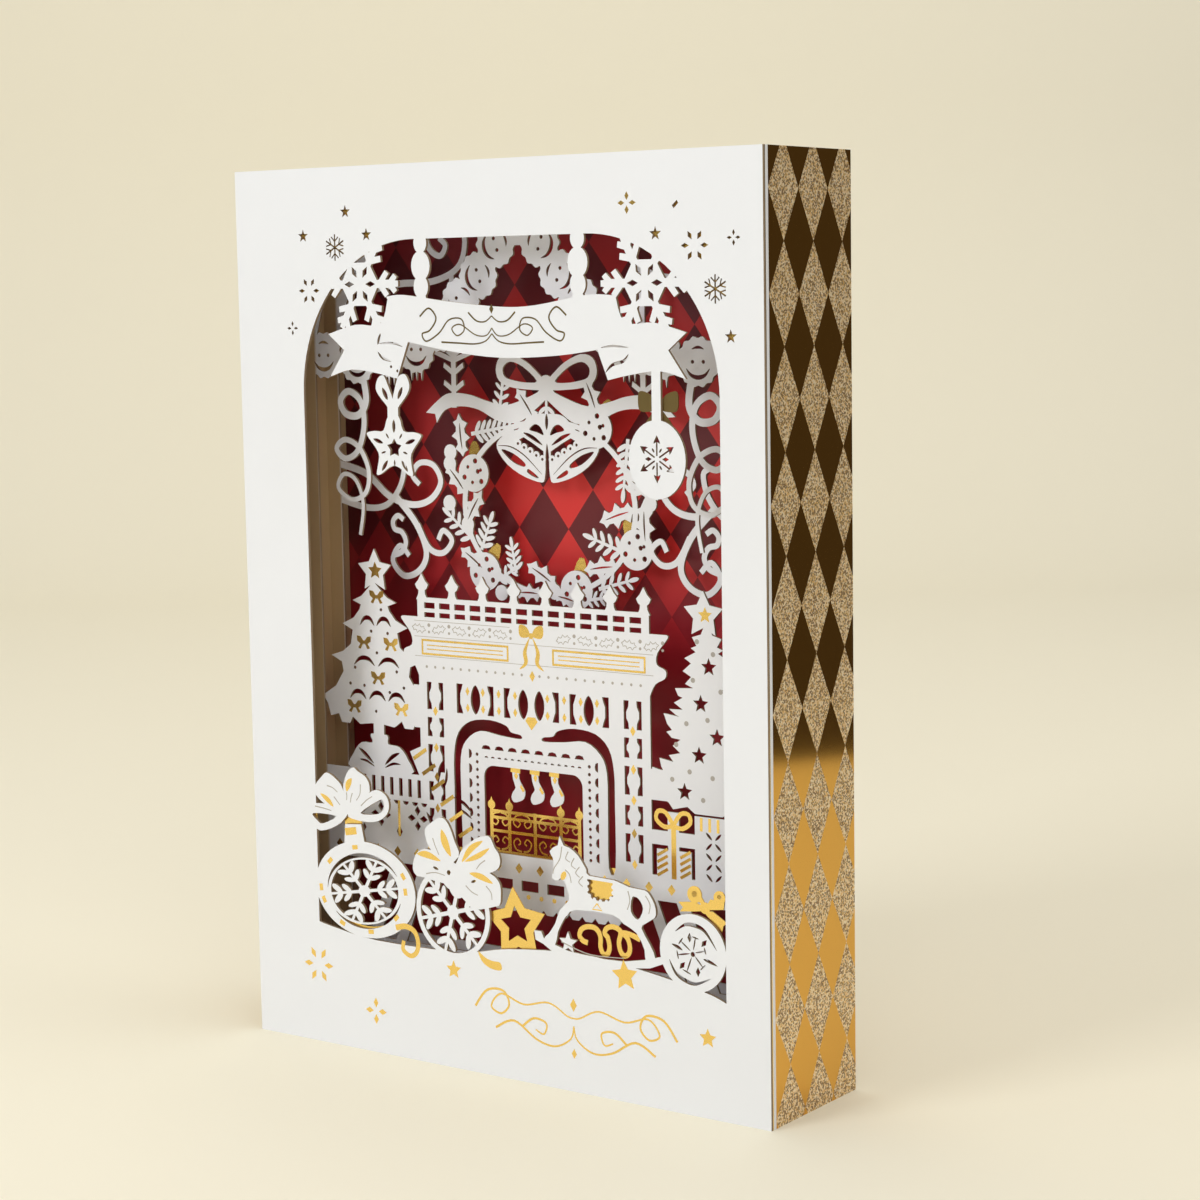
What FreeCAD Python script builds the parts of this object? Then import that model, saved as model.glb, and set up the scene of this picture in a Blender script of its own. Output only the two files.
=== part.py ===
import FreeCAD, Part
import math
import os
from FreeCAD import Vector

# Greeting card made as a shallow box: a cut-out white front, and behind its arched
# window a paper hearth scene, a paper wreath and a red back, all between two side walls.
# Millimetres. X runs along the front, Y from front to back, Z up from the bottom edge.

# Outer box
card_width = 126.0
card_height = 178.0
card_depth = 30.4
case_wall = 0.6
flange_width = 4.0

# Front stack, from front to back
panel_thickness = 0.6
foil_thickness = 0.2
board_thickness = 0.9
board_setback = 2.0

# Arched window in the front panel
left_margin = 17.0
right_margin = 9.5
top_margin = 14.5
bottom_margin = 24.0
arch_rise = 30.0
arch_run = 29.0

# Inner sheets: distance of each front face behind the front of the card
scene_depth = 12.8
wreath_depth = 19.6
back_depth = 25.6
sheet_thickness = 0.5
sheet_end_gap = 1.5
side_channel = 5.0
liner_thickness = 0.5
glue_gap = 0.05

# The pictures on the inner sheets are laid out on a field of this half width and height,
# then stretched to the card
picture_size = (58.0, 178.0)

# Hearth scene
scene_opening_half = 54.2
scene_opening_top = 168.0
scene_arch_rise = 30.0
scene_arch_run = 27.0
hearth_half = 28.5
mantle_half = 30.4
mantle_low = 76.0
mantle_top = 88.0
rail_top = 92.0
post_pitch = 7.8
post_count = 8
pillar_width = 8.2
fire_half = 12.2
fire_low = 41.4
fire_top = 59.0
band_low = 36.4
band_top = 41.4
base_low = 30.0
foot_height = 20.0
swag_height = 140.5
swag_middle = -1.2
ball_radius = 4.6

# Wreath sheet
wreath_opening_half = 54.0
wreath_height = 110.5
wreath_radius = 21.0
wreath_squash = 0.82
bow_height = 134.9

# Foil behind the inner sheets
trim_thickness = 0.2
screen_top = 49.8
screen_bay = 6.4

front_y = -card_depth / 2
left = left_margin - card_width / 2
right = card_width / 2 - right_margin
top = card_height - top_margin
low = bottom_margin
board_y = front_y + panel_thickness + foil_thickness
case_y = board_y + board_thickness
inner_half_width = card_width / 2 - side_channel


# Outlines: each is a list of (x, z) corners, given once around
def circle(x, z, radius, corners=10, turn=0.0, squash=1.0):
    return [(x + radius * math.cos(turn + 2 * math.pi * i / corners),
             z + squash * radius * math.sin(turn + 2 * math.pi * i / corners))
            for i in range(corners)]


def star(x, z, outer, inner, points=5, turn=90.0):
    corners = []
    for i in range(2 * points):
        radius = inner if i % 2 else outer
        angle = math.radians(turn + 180.0 * i / points)
        corners.append((x + radius * math.cos(angle), z + radius * math.sin(angle)))
    return corners


def rectangle(x0, z0, x1, z1):
    return [(x0, z0), (x1, z0), (x1, z1), (x0, z1)]


def placed(points, x, z, size=1.0, turn=0.0, flip=False):
    c = math.cos(math.radians(turn)) * size
    s = math.sin(math.radians(turn)) * size
    side = -1.0 if flip else 1.0
    return [(x + side * (c * u - s * v), z + s * u + c * v) for u, v in points]


def diamond(x, z, half_length, half_width, turn=0.0):
    return placed([(half_length, 0), (0, half_width), (-half_length, 0), (0, -half_width)], x, z, 1.0, turn)


def mirrored(outlines, middle=0.0):
    return [[(2 * middle - x, z) for x, z in points] for points in outlines]


def strip(path, width, end_width, piece):
    # A band of paper that follows a path, as outlines end to end that each span a few steps of it
    count = len(path)
    sides = []
    for i, (x, z) in enumerate(path):
        x0, z0 = path[max(i - 1, 0)]
        x1, z1 = path[min(i + 1, count - 1)]
        length = math.hypot(x1 - x0, z1 - z0)
        half = 0.5 * (width + (end_width - width) * i / (count - 1))
        nx, nz = -(z1 - z0) / length * half, (x1 - x0) / length * half
        sides.append(((x + nx, z + nz), (x - nx, z - nz)))
    outlines = []
    start = 0
    while start < count - 1:
        end = min(start + piece, count - 1)
        run = sides[start:end + 1]
        outlines.append([a for a, b in run] + [b for a, b in reversed(run)])
        start = end
    return outlines


def crescent(x, z, radius, start, end, width, corners=4):
    # A slit that follows a circle and is widest at its middle
    outer, inner = [], []
    for i in range(corners + 1):
        t = i / corners
        angle = math.radians(start + (end - start) * t)
        half = 0.5 * width * math.sin(math.pi * t)
        outer.append((x + (radius + half) * math.cos(angle), z + (radius + half) * math.sin(angle)))
        if 0 < i < corners:
            inner.append((x + (radius - half) * math.cos(angle), z + (radius - half) * math.sin(angle)))
    return outer + inner[::-1]


def flake(x, z, reach, arm, core, turn=0.0):
    # Six-armed snowflake in one outline, with a pair of twigs on each arm
    half_arm = [(core, arm), (0.55 * reach, arm), (0.76 * reach, 0.24 * reach), (0.74 * reach, arm),
                (reach, 0.7 * arm)]
    points = []
    for k in range(6):
        side = [(u, -v) for u, v in half_arm] + [(u, v) for u, v in reversed(half_arm)]
        points += placed(side, x, z, 1.0, turn + 60.0 * k)
    return points


def diamond_ring(x, z, radius, half_length, half_width, turn=0.0, count=6):
    rays = []
    for k in range(count):
        angle = math.radians(turn + 360.0 * k / count)
        rays.append(diamond(x + radius * math.cos(angle), z + radius * math.sin(angle),
                            half_length, half_width, turn + 360.0 * k / count))
    return rays


def holly(x, z, length, turn):
    leaf = [(-0.5, 0), (-0.26, 0.18), (-0.12, 0.12), (0.10, 0.25), (0.24, 0.12), (0.5, 0),
            (0.20, -0.23), (0.06, -0.12), (-0.16, -0.24)]
    return placed(leaf, x, z, length, turn)


def sprig(x, z, length, turn, pairs=2):
    # Twig with paired needles that lean towards its tip
    outlines = [placed([(0, -0.5), (length, -0.3), (length, 0.3), (0, 0.5)], x, z, 1.0, turn)]
    for k in range(pairs):
        root = length * (0.18 + 0.66 * k / max(pairs - 1, 1))
        for side in (1, -1):
            needle = [(root - 0.55, 0), (root + 0.5, side * 2.1), (root + 1.35, side * 2.4), (root + 0.45, 0)]
            outlines.append(placed(needle, x, z, 1.0, turn))
    return outlines


# Flat faces in the plane y = 0 and solids made from them
def face(points):
    # All faces turn the same way, so that they join into one
    turn = sum(a[0] * b[1] - b[0] * a[1] for a, b in zip(points, points[1:] + points[:1]))
    corners = [Vector(x, 0, z) for x, z in (points if turn > 0 else points[::-1])]
    return Part.Face(Part.makePolygon(corners + corners[:1]))


def cut_sheet(steps, y, thickness):
    # Paper is added and cut away in the order of the steps, then given its thickness
    sheet = None
    for action, outlines in steps:
        faces = [face(points) for points in outlines]
        if sheet is None:
            sheet, faces = faces[0], faces[1:]
        if faces and action == "add":
            sheet = Part.makeShell(sheet.multiFuse(faces).Faces).removeSplitter()
        elif faces:
            sheet = sheet.cut(faces)
    solids = [flat.extrude(Vector(0, thickness, 0)) for flat in sheet.Faces]
    sheet = solids[0] if len(solids) == 1 else Part.makeCompound(solids)
    return sheet.translated(Vector(0, y, 0))


def stretched(steps):
    # Fits a picture's outlines to the space between the side liners
    across, up = inner_half_width / picture_size[0], card_height / picture_size[1]
    return [(action, [[(x * across, z * up) for x, z in points] for points in outlines])
            for action, outlines in steps]


def block(x0, y0, z0, x1, y1, z1):
    return Part.makeBox(x1 - x0, y1 - y0, z1 - z0, Vector(x0, y0, z0))


def fused(shapes):
    return shapes[0].fuse(shapes[1:]).removeSplitter()


# Front of the card
def arch_outline(x0, z0, x1, z1, run, rise, corners=6):
    # Straight sides and a flat top, joined by two quarter ellipses
    points = [(x0, z0), (x1, z0)]
    for i in range(corners + 1):
        angle = math.pi / 2 * i / corners
        points.append((x1 - run + run * math.cos(angle), z1 - rise + rise * math.sin(angle)))
    for i in range(corners + 1):
        angle = math.pi / 2 * (1 + i / corners)
        points.append((x0 + run + run * math.cos(angle), z1 - rise + rise * math.sin(angle)))
    return points


def window_outline(spread=0.0):
    # The lower edge is a low hill that the bottom row of ornaments stands on
    hill = [(left + 4.0, low + 0.6), (left + 15.5, low - 0.7), (left + 37.0, low - 0.2),
            (left + 49.0, low + 2.0), (left + 66.0, low + 3.4), (right - 19.0, low + 2.2), (right - 5.0, low)]
    arch = arch_outline(left, low, right, top, arch_run, arch_rise)[2:]
    points = [(left, low + 1.3)] + hill + [(right, low - 1.5)] + arch
    middle_x, middle_z = (left + right) / 2, (low + top) / 2
    grow_x = 1 + 2 * spread / (right - left)
    grow_z = 1 + 2 * spread / (top - low)
    return [(middle_x + (x - middle_x) * grow_x, middle_z + (z - middle_z) * grow_z) for x, z in points]


# Ornament centres on the front, tied to the edges of the window
flake_left = (left + 15.5, top - 8.5)
flake_right = (right - 16.0, top - 9.2)
star_ornament = (left + 23.3, top - 40.5)
ball_ornament = (right - 13.8, top - 41.3)
ring_one = (left + 12.6, low + 9.4)
ring_two = (left + 35.3, low + 7.6)
gold_star = (left + 50.6, low + 6.8)
horse = (gold_star[0] + 19.9, low + 3.0)
small_ball = (right - 7.3, low + 7.0)


def banner():
    middle = [(left + 22.2, top - 11.0), (left + 26.5, top - 10.7), (left + 37, top - 12.0),
              (left + 50, top - 13.2), (right - 41, top - 13.0), (right - 29, top - 11.2),
              (right - 22.6, top - 11.4), (right - 24.5, top - 21.0), (right - 36, top - 22.4),
              (left + 50, top - 22.8), (left + 38, top - 21.6), (left + 27.5, top - 19.8)]
    tail = [(22.6, -11.2), (20.5, -16.5), (14, -16.4), (7.0, -18.2), (11, -21.4), (7.2, -26.6), (13, -25.2),
            (20, -26.0), (24.5, -26.9), (27.5, -19.6)]
    return [middle, [(left + x, top + z) for x, z in tail], [(right - x, top + z) for x, z in tail]]


def bead_strings():
    outlines = []
    for x in (left + 31.0, right - 31.0):
        for drop, radius in ((0.8, 1.6), (5.2, 2.3), (9.2, 1.8), (11.8, 1.3)):
            outlines.append(circle(x, top - drop, radius, 6, 0.0, 1.25))
    return outlines


def loops(x, z, size):
    # Pair of upright ribbon loops above a knot
    petal = [(0, 0), (-1.6, 3.0), (-3.6, 5.6), (-2.6, 7.4), (-0.6, 6.6), (0.5, 4.0), (0.5, 0)]
    return [placed(petal, x, z, size), placed(petal, x, z, size, 0, True)]


def left_bow(x, z):
    # Bow of the first ring: two upright petals, a loop to the right and a loop down to the left
    shapes = [
        [(-3.3, 0), (-8.6, 2.6), (-8.3, 4.6), (-5.7, 7.5), (-4.1, 7.4), (-0.9, 4.7), (0.3, 0)],
        [(0, 0), (-0.7, 4.4), (0.5, 8.2), (2.1, 9.3), (5.1, 7.8), (6.2, 6.0), (5.8, 4.0), (1.6, 0)],
        [(0.3, -0.4), (4.7, 3.2), (7.1, 5.1), (9.7, 4.9), (11.3, 2.6), (10.3, 0.2), (6.9, -1.5), (2.3, -1.4)],
        [(0, 0.6), (-9.3, 0.9), (-9.9, -1.6), (-8.3, -4.2), (-5.3, -4.2), (-0.7, -1.8)],
    ]
    return [placed(points, x, z) for points in shapes]


def left_bow_holes(x, z):
    right_hole = [(3.7, 0.2), (8.9, 3.2), (9.9, 2.6), (8.9, 0.8), (6.9, 0.3)]
    low_hole = [(-8.3, -1.2), (-3.1, -1.2), (-6.5, -3.0), (-7.8, -2.4)]
    return [placed(right_hole, x, z), placed(low_hole, x, z)]


def right_bow(x, z):
    # Bow of the second ring: four petals in one outline
    outline = [(-5.5, 3.2), (-7.9, 3.1), (-9.7, 1.7), (-10.3, -0.9), (-9.3, -2.5), (-2.5, -3.1), (1.9, -5.3),
               (5.1, -7.4), (10.3, -6.3), (11.8, -4.3), (11.6, -1.5), (9.1, 0.3), (11.3, 1.5), (11.8, 3.3),
               (9.4, 7.4), (8.1, 7.6), (4.7, 5.9), (1.5, 2.7), (0.5, 5.9), (-1.1, 9.3), (-3.1, 10.0),
               (-7.0, 6.9), (-6.7, 4.9)]
    return [placed(outline, x, z)]


def ring_snowflake(centre, reach, turn):
    return flake(centre[0], centre[1], reach, 0.085 * reach, 0.24 * reach, turn)


def rocking_horse():
    body = [(-11.0, 19.6), (-9.0, 21.0), (-6.4, 20.9), (-3.2, 18.4), (-2.0, 16.0), (4.2, 15.8), (7.4, 14.9),
            (10.6, 14.7), (12.4, 13.6), (13.4, 11.4), (13.0, 9.6), (10.2, 7.2), (13.4, 1.6), (11.0, 1.2),
            (10.6, 3.8), (9.0, 6.2), (3.6, 9.0), (-4.4, 9.0), (-6.8, 7.6), (-8.4, 5.2), (-10.0, 1.2),
            (-12.8, 2.2), (-10.6, 4.6), (-9.6, 7.4), (-6.8, 10.6), (-6.8, 12.4), (-8.0, 14.6), (-10.5, 14.2),
            (-10.2, 17.6)]
    rocker = [(-15.1, 3.6), (-13.2, 3.5), (-12.6, 2.0), (-6.0, 0.3), (6.0, 0.2), (11.0, 1.2), (15.4, 2.6),
              (15.4, 1.2), (11.0, -0.6), (-9.4, -1.0), (-13.0, 1.0), (-15.0, 1.8)]
    return [placed(body, *horse), placed(rocker, *horse)]


def horse_gaps():
    return [placed([(8.2, 13.0), (9.8, 12.9), (10.7, 10.8), (9.6, 8.8), (7.9, 10.0)], *horse)]


def saddle_outline():
    return placed([(-2.2, 15.2), (3.7, 15.1), (3.7, 12.4), (2.4, 11.3), (-1.2, 11.3), (-2.2, 12.4)], *horse)


def scattered_cuts():
    cuts = []
    for x, z in ((left + 12.2, top + 5.7), (left + 1.0, top + 1.2), (left + 17.5, top + 1.1),
                 (right - 13.5, top - 0.4), (right + 2.5, top - 19.0)):
        cuts.append(diamond(x, z, 1.1, 0.8, 90))
    for x, z, size in ((left + 2.2, top - 9.6, 1.0), (right - 5.0, top - 2.7, 1.1),
                       (left - 0.5, low - 7.8, 1.5)):
        cuts.append(star(x, z, 2.6 * size, 1.1 * size, 6))
    for x, z, size in ((left - 2.5, top - 17.0, 1.0), (right - 19.7, top + 5.3, 1.3),
                       (right + 3.3, top - 1.5, 1.0), (left + 14.7, low - 15.4, 2.0)):
        cuts.append(star(x, z, 1.3 * size, 0.5 * size, 4))
    for x, z in ((left + 9.3, top - 1.2), (right - 0.7, top - 10.5)):
        cuts.append(star(x, z, 2.5, 0.5, 6))
    for x, z, size in ((left + 35.2, low - 4.0, 1.9), (right - 4.2, low - 8.7, 1.9),
                       (right - 22.6, low + 0.6, 2.9)):
        cuts.append(star(x, z, size, 0.45 * size))
    return cuts


def flourish():
    # Generic scroll ornament in the place below the window
    x, z = right - 35.0, low - 9.5
    upper = [(-16, -2.5), (-12, 1.5), (-6, 2.2), (-1.0, 0.2)]
    lower = [(-9, -5.5), (-4.5, -6.2), (-0.8, -3.2)]
    outlines = []
    for path in (upper, lower):
        for flip in (False, True):
            outlines += strip(placed(path, x, z, 1.0, 0, flip), 0.5, 0.35, 12)
    return outlines + [diamond(x, z + 2.6, 1.3, 0.8, 90), diamond(x, z - 7.0, 1.0, 0.6, 90)]


def front_panel():
    outer = rectangle(-card_width / 2, 0, card_width / 2, card_height)
    steps = [("add", [outer]), ("cut", [window_outline()])]
    adds = banner() + bead_strings()
    for x, z in (flake_left, flake_right):
        adds.append(flake(x, z, 9.6, 0.85, 4.4, 0))
    x, z = star_ornament
    adds += [star(x, z, 7.4, 4.3), rectangle(x - 1.4, z + 5.0, x + 1.4, z + 9.0)]
    adds += loops(x, z + 7.6, 1.0)
    x, z = ball_ornament
    adds += [circle(x, z, 6.3, 14, 0.0, 1.15), rectangle(x - 1.3, z + 5.0, x + 1.3, z + 16.6)]
    x, z = ring_one
    cap = [(-5.2, 9.0), (0.2, 9.6), (-0.6, 13.2), (-4.6, 13.0)]
    adds += [circle(x, z, 13.2, 16, 0.0, 0.75), placed(cap, x, z)] + left_bow(x - 4.4, z + 15.6)
    steps += [("add", [circle(*ring_two, 9.3, 14)]), ("cut", [circle(*ring_two, 8.2, 12)])]
    x, z = ring_two
    adds += right_bow(x + 0.3, z + 8.7) + rocking_horse()
    x, z = small_ball
    adds += [circle(x, z, 7.4, 14), star(horse[0] - 7.0, horse[1] + 2.2, 2.2, 1.0)]
    steps.append(("add", adds))
    cuts = scattered_cuts() + horse_gaps() + flourish()
    for x, z in (flake_left, flake_right):
        cuts += diamond_ring(x, z, 2.7, 1.2, 0.55)
    x, z = star_ornament
    cuts.append(star(x, z, 1.9, 0.85))
    for k in range(5):
        angle = math.radians(90 + 72 * k)
        cuts.append(diamond(x + 4.3 * math.cos(angle), z + 4.3 * math.sin(angle), 1.3, 0.28, 90 + 72 * k))
    for flip in (False, True):
        cuts.append(placed([(-0.9, 2.6), (-2.4, 5.2), (-1.6, 6.2), (-0.6, 4.6)], x, z + 7.6, 1.0, 0, flip))
    x, z = ball_ornament
    cuts += diamond_ring(x, z, 2.4, 1.9, 0.45, 90)
    x, z = ring_one
    cuts += [circle(x, z, 9.4, 14, 0.0, 0.74)] + left_bow_holes(x - 4.4, z + 15.6)
    x, z = small_ball
    cuts += [crescent(x, z, 6.0, 60, 140, 0.9, 2), crescent(x, z, 6.0, 230, 310, 0.9, 2)]
    cuts += diamond_ring(x, z, 3.4, 1.1, 0.6, 45, 4)
    cuts.append(saddle_outline())
    steps += [("cut", cuts), ("add", [ring_snowflake(ring_one, 9.8, 14), ring_snowflake(ring_two, 8.8, 4)])]
    return cut_sheet(steps, front_y, panel_thickness)


def gold_curl():
    # Gold ribbon below the horse: a wavy band with two hanging loops
    path = [(-3.4, 2.6), (-4.6, 3.4), (-4.0, 5.2), (-1.4, 5.8), (1.4, 5.2), (3.4, 6.3), (5.6, 5.4),
            (9.4, 4.9)]
    hanging = ((1.3, 2.6, 1.6, 1.65), (5.8, 3.2, 1.6, 1.7))
    adds = [circle(x, z, radius, 8, 0.0, squash) for x, z, radius, squash in hanging]
    holes = [circle(x, z, 0.45 * radius, 5, 0.0, 1.2 * squash) for x, z, radius, squash in hanging]
    adds += strip(path, 1.1, 1.1, 7)
    return [placed(points, *horse) for points in adds], [placed(points, *horse) for points in holes]


def foil_bow(x, z, size):
    loop = [(-0.6, 0.2), (-1.6, 2.4), (-4.6, 2.8), (-4.4, -0.6), (-1.4, -1.0)]
    end = [(-0.8, -0.6), (-3.0, -3.0), (-4.6, -5.6), (-2.2, -5.0), (-0.4, -3.6), (0.6, -0.8)]
    outlines = [circle(x, z, 1.2 * size, 8)]
    for flip in (False, True):
        outlines += [placed(loop, x, z, size, 0, flip), placed(end, x, z, size, 0, flip)]
    return outlines


def front_foil():
    outer = rectangle(-card_width / 2, 0, card_width / 2, card_height)
    x, z = gold_star
    steps = [("add", [outer]), ("cut", [window_outline(0.4)]), ("add", [star(x, z, 7.6, 4.2, 5, 96)]),
             ("cut", [star(x, z, 3.9, 2.0, 5, 96)])]
    return cut_sheet(steps, front_y + panel_thickness, foil_thickness)


def front_foil_pieces():
    # Pieces of the same foil glued behind the white bows, the ring, the horse and the two balls
    x, z = ring_one
    band_edge = circle(x, z, 12.2, 14, 0.0, 0.74)
    cap = [(-4.9, 7.6), (0, 8.4), (-1.2, 15.0), (0.6, 21.6), (-1.6, 22.4), (-4.6, 18.0), (-10.6, 20.6),
           (-11.2, 18.4), (-5.6, 15.0)]
    behind_bow = [(-7.0, 2.9), (-9.4, 1.0), (-8.4, -1.6), (-1.6, -2.2), (4.8, -5.8), (10.2, -4.6), (8.0, 0.0),
                  (10.4, 3.6), (8.6, 6.2), (1.2, 1.2), (-1.4, 8.0), (-4.6, 8.0)]
    hold = [(-2.9, 15.6), (4.3, 15.4), (4.3, 12.0), (2.8, 10.7), (-1.6, 10.7), (-2.9, 12.0)]
    curl, curl_holes = gold_curl()
    shapes = {
        "ring_foil": [band_edge, placed(cap, x, z)],
        "bow_foil": [placed(behind_bow, ring_two[0] + 0.3, ring_two[1] + 8.7)],
        "small_ball_bow": foil_bow(small_ball[0] + 1.0, small_ball[1] + 10.4, 1.1),
        "saddle_foil": [placed(hold, *horse)],
        "curl_foil": curl,
        "hanging_bow": foil_bow(ball_ornament[0], ball_ornament[1] + 9.6, 0.95),
    }
    gaps = {"ring_foil": [circle(x, z, 10.2, 14, 0.0, 0.75)], "curl_foil": curl_holes}
    y = front_y + panel_thickness
    return {name: cut_sheet([("add", outlines), ("cut", gaps.get(name, []))], y, foil_thickness)
            for name, outlines in shapes.items()}


def front_board():
    x0, x1, z1 = left - board_setback, right + board_setback, top + board_setback
    hole = arch_outline(x0, low - 2 * board_setback, x1, z1, arch_run, arch_rise)
    outer = rectangle(-card_width / 2, 0, card_width / 2, card_height)
    return cut_sheet([("add", [outer]), ("cut", [hole])], board_y, board_thickness)


# Case: back, two sides and two narrow front flanges folded from one card
def case():
    x1, y1 = card_width / 2, card_depth / 2
    pieces = [block(-x1, y1 - case_wall, 0, x1, y1, card_height)]
    for side in (-1, 1):
        outer, inner, edge = side * x1, side * (x1 - case_wall), side * (x1 - flange_width)
        pieces.append(block(min(outer, inner), case_y, 0, max(outer, inner), y1, card_height))
        pieces.append(block(min(outer, edge), case_y, 0, max(outer, edge), case_y + case_wall, card_height))
    return fused(pieces)


# Side liner: a channel that holds the inner sheets and hides the outer wall
def side_liner(side):
    z0, z1 = sheet_end_gap, card_height - sheet_end_gap
    y0, y1 = case_y + case_wall, card_depth / 2 - case_wall
    x0, x1 = inner_half_width, inner_half_width + liner_thickness
    x2 = card_width / 2 - case_wall
    spans = ((x0, y0, x1, y1), (x0, y0, x2, y0 + liner_thickness), (x0, y1 - liner_thickness, x2, y1))
    pieces = []
    for a, b, c, d in spans:
        low_x, high_x = sorted((side * a, side * c))
        pieces.append(block(low_x, b, z0, high_x, d, z1))
    return fused(pieces)


def with_tabs(sheet, y, length):
    # Two side tabs, folded back and glued to the liners
    pieces = [sheet]
    z0, z1 = sheet_end_gap, card_height - sheet_end_gap
    for side in (-1, 1):
        low_x, high_x = sorted((side * inner_half_width, side * (inner_half_width - sheet_thickness)))
        pieces.append(block(low_x, y, z0, high_x, y + length, z1))
    return fused(pieces)


def sheet_rectangle():
    return rectangle(-inner_half_width, sheet_end_gap, inner_half_width, card_height - sheet_end_gap)


# Hearth scene
swag_balls = ((50.6, 0.2), (41.6, -0.9), (33.2, 0.4), (26.0, 1.4), (19.8, 5.6), (14.4, 10.8), (9.8, 15.8),
              (5.4, 21.8))


def swag():
    outlines = []
    for side in (-1, 1):
        for x, lift in swag_balls:
            outlines.append(circle(swag_middle + side * x, swag_height + lift, ball_radius, 8))
    outlines.append(rectangle(swag_middle - 8, swag_height + 21.5, swag_middle + 8, scene_opening_top + 1))
    return outlines


def swag_cuts():
    outlines = []
    for side in (-1, 1):
        for x, lift in swag_balls[:4]:
            outlines.append(crescent(swag_middle + side * x, swag_height + lift, 2.9, 205, 335, 1.0, 2))
        for x, lift in swag_balls[5:7]:
            outlines.append(crescent(swag_middle + side * x, swag_height + lift, 3.0, 90 + side * 15,
                                     90 + side * 150, 1.0, 2))
    return outlines


def curly_ribbon():
    path = [(-41.5, 137.0), (-40.7, 131.6), (-42.8, 128.6), (-46.2, 128.8), (-47.6, 131.4), (-45.4, 133.4),
            (-42.2, 131.4), (-41.4, 126.6), (-43.2, 121.4), (-46.6, 119.6), (-49.0, 121.6), (-46.6, 123.5),
            (-42.8, 121.8), (-40.5, 117.2), (-41.4, 112.8), (-45.2, 111.2), (-48.8, 113.6), (-47.2, 116.4),
            (-44.0, 115.2), (-42.2, 110.4), (-43.2, 104.0)]
    return strip(path, 1.5, 0.9, 3)


def tree(x, z, tiers):
    # Fir drawn from its tip down the right side and back up the left, as (reach, height) points
    return [(x, z)] + [(x + u, v) for u, v in tiers] + [(x - u, v) for u, v in reversed(tiers)]


left_tiers = [(5.8, 90.4), (4.0, 88.6), (8.7, 85.4), (6.6, 81.2), (12.0, 78.6), (8.8, 75.4), (14.6, 70.0),
              (11.6, 65.8), (7.4, 64.2), (6.6, 66.0), (1.6, 65.0)]
right_tiers = [(4.0, 88.6), (5.8, 84.3), (4.2, 83.8), (6.2, 81.2), (4.6, 79.8), (8.2, 77.4), (6.6, 74.6),
               (10.4, 72.9), (8.1, 69.8), (10.2, 67.6), (8.4, 65.6), (13.4, 61.8), (13.0, 57.0), (4.6, 55.0)]


def fence():
    outlines = [rectangle(-hearth_half, mantle_top - 1, hearth_half, rail_top)]
    for k in range(post_count):
        x = (k - (post_count - 1) / 2) * post_pitch
        post = [(-1.3, -0.5), (-1.7, 2.4), (0, 4.8), (1.7, 2.4), (1.3, -0.5)]
        outlines.append(placed(post, x, rail_top))
    return outlines


def mantle():
    side = [(hearth_half, mantle_low), (mantle_half, mantle_low + 3), (mantle_half + 1.6, mantle_low + 4.5),
            (mantle_half, mantle_low + 7), (mantle_half, mantle_low + 8.5), (mantle_half + 2.4, mantle_top)]
    return side + [(-x, z) for x, z in reversed(side)]


def hearth_cuts():
    cuts = []
    columns = 2 * (post_count - 1)
    for k in range(columns):
        x = (k - (columns - 1) / 2) * post_pitch / 2
        cuts.append(rectangle(x - 1.15, rail_top - 3.4, x + 1.15, rail_top - 1.2))
    frieze = mantle_low - 4.0
    lens = [(0, -3.0), (1.1, -1.1), (1.1, 1.1), (0, 3.0), (-1.1, 1.1), (-1.1, -1.1)]
    half = [(-0.7, -3.0), (0.7, -3.0), (0.1, -1.0), (0.1, 1.0), (0.7, 3.0), (-0.7, 3.0)]
    for x in (-14.0, -2.0, 2.0, 14.0):
        cuts.append(placed(lens, x, frieze))
    for x, flip in ((-18.0, False), (-10.2, True), (-6.0, False), (6.0, True), (10.2, False), (18.0, True)):
        cuts.append(placed(half, x, frieze, 1.0, 0, flip))
    pillar = hearth_half - pillar_width / 2
    for side in (-1, 1):
        for drop, tall in ((4, 1), (10.4, 0.7), (16.8, 1), (23.6, 0.7), (30, 1)):
            for hand in (-1, 1):
                bar = [(0.6, -2.8 * tall), (0.6, 2.8 * tall), (-0.6, 2.2 * tall), (-0.6, -2.2 * tall)]
                cuts.append([(side * pillar + hand * (1.5 + u), mantle_low - drop + v) for u, v in bar])
    outer = fire_half + 6.8
    slot = [(outer - 0.8, band_top), (outer + 0.8, band_top), (outer + 0.8, 60.5), (outer - 0.4, 65.0),
            (outer - 3.6, 68.0), (6.4, 67.4), (5.4, 66.2), (2.8, 65.7), (2.9, 65.0), (8, 65.3), (13, 65.8),
            (outer - 2.4, 63.6), (outer - 0.8, 60.0)]
    cuts += [slot, [(-x, z) for x, z in slot]]
    cuts.append(rectangle(-fire_half, fire_low, fire_half, fire_top))
    return cuts


def bucket():
    left_edge, right_edge = -47.4, -26.4
    body = [(left_edge, band_top - 1), (right_edge, band_top - 1), (right_edge, 50.0), (-27.6, 55.3),
            (left_edge, 55.3)]
    bow = [(-47.2, 55.0), (-46.0, 59.4), (-42.8, 61.4), (-42.6, 62.8), (-36.6, 62.8), (-36.4, 61.2),
           (-33.2, 60.6), (-31.2, 56.4), (-32.0, 55.0)]
    trunk = rectangle(-41.0, 62.0, -38.6, 66.0)
    return [body, bow, trunk]


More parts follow.
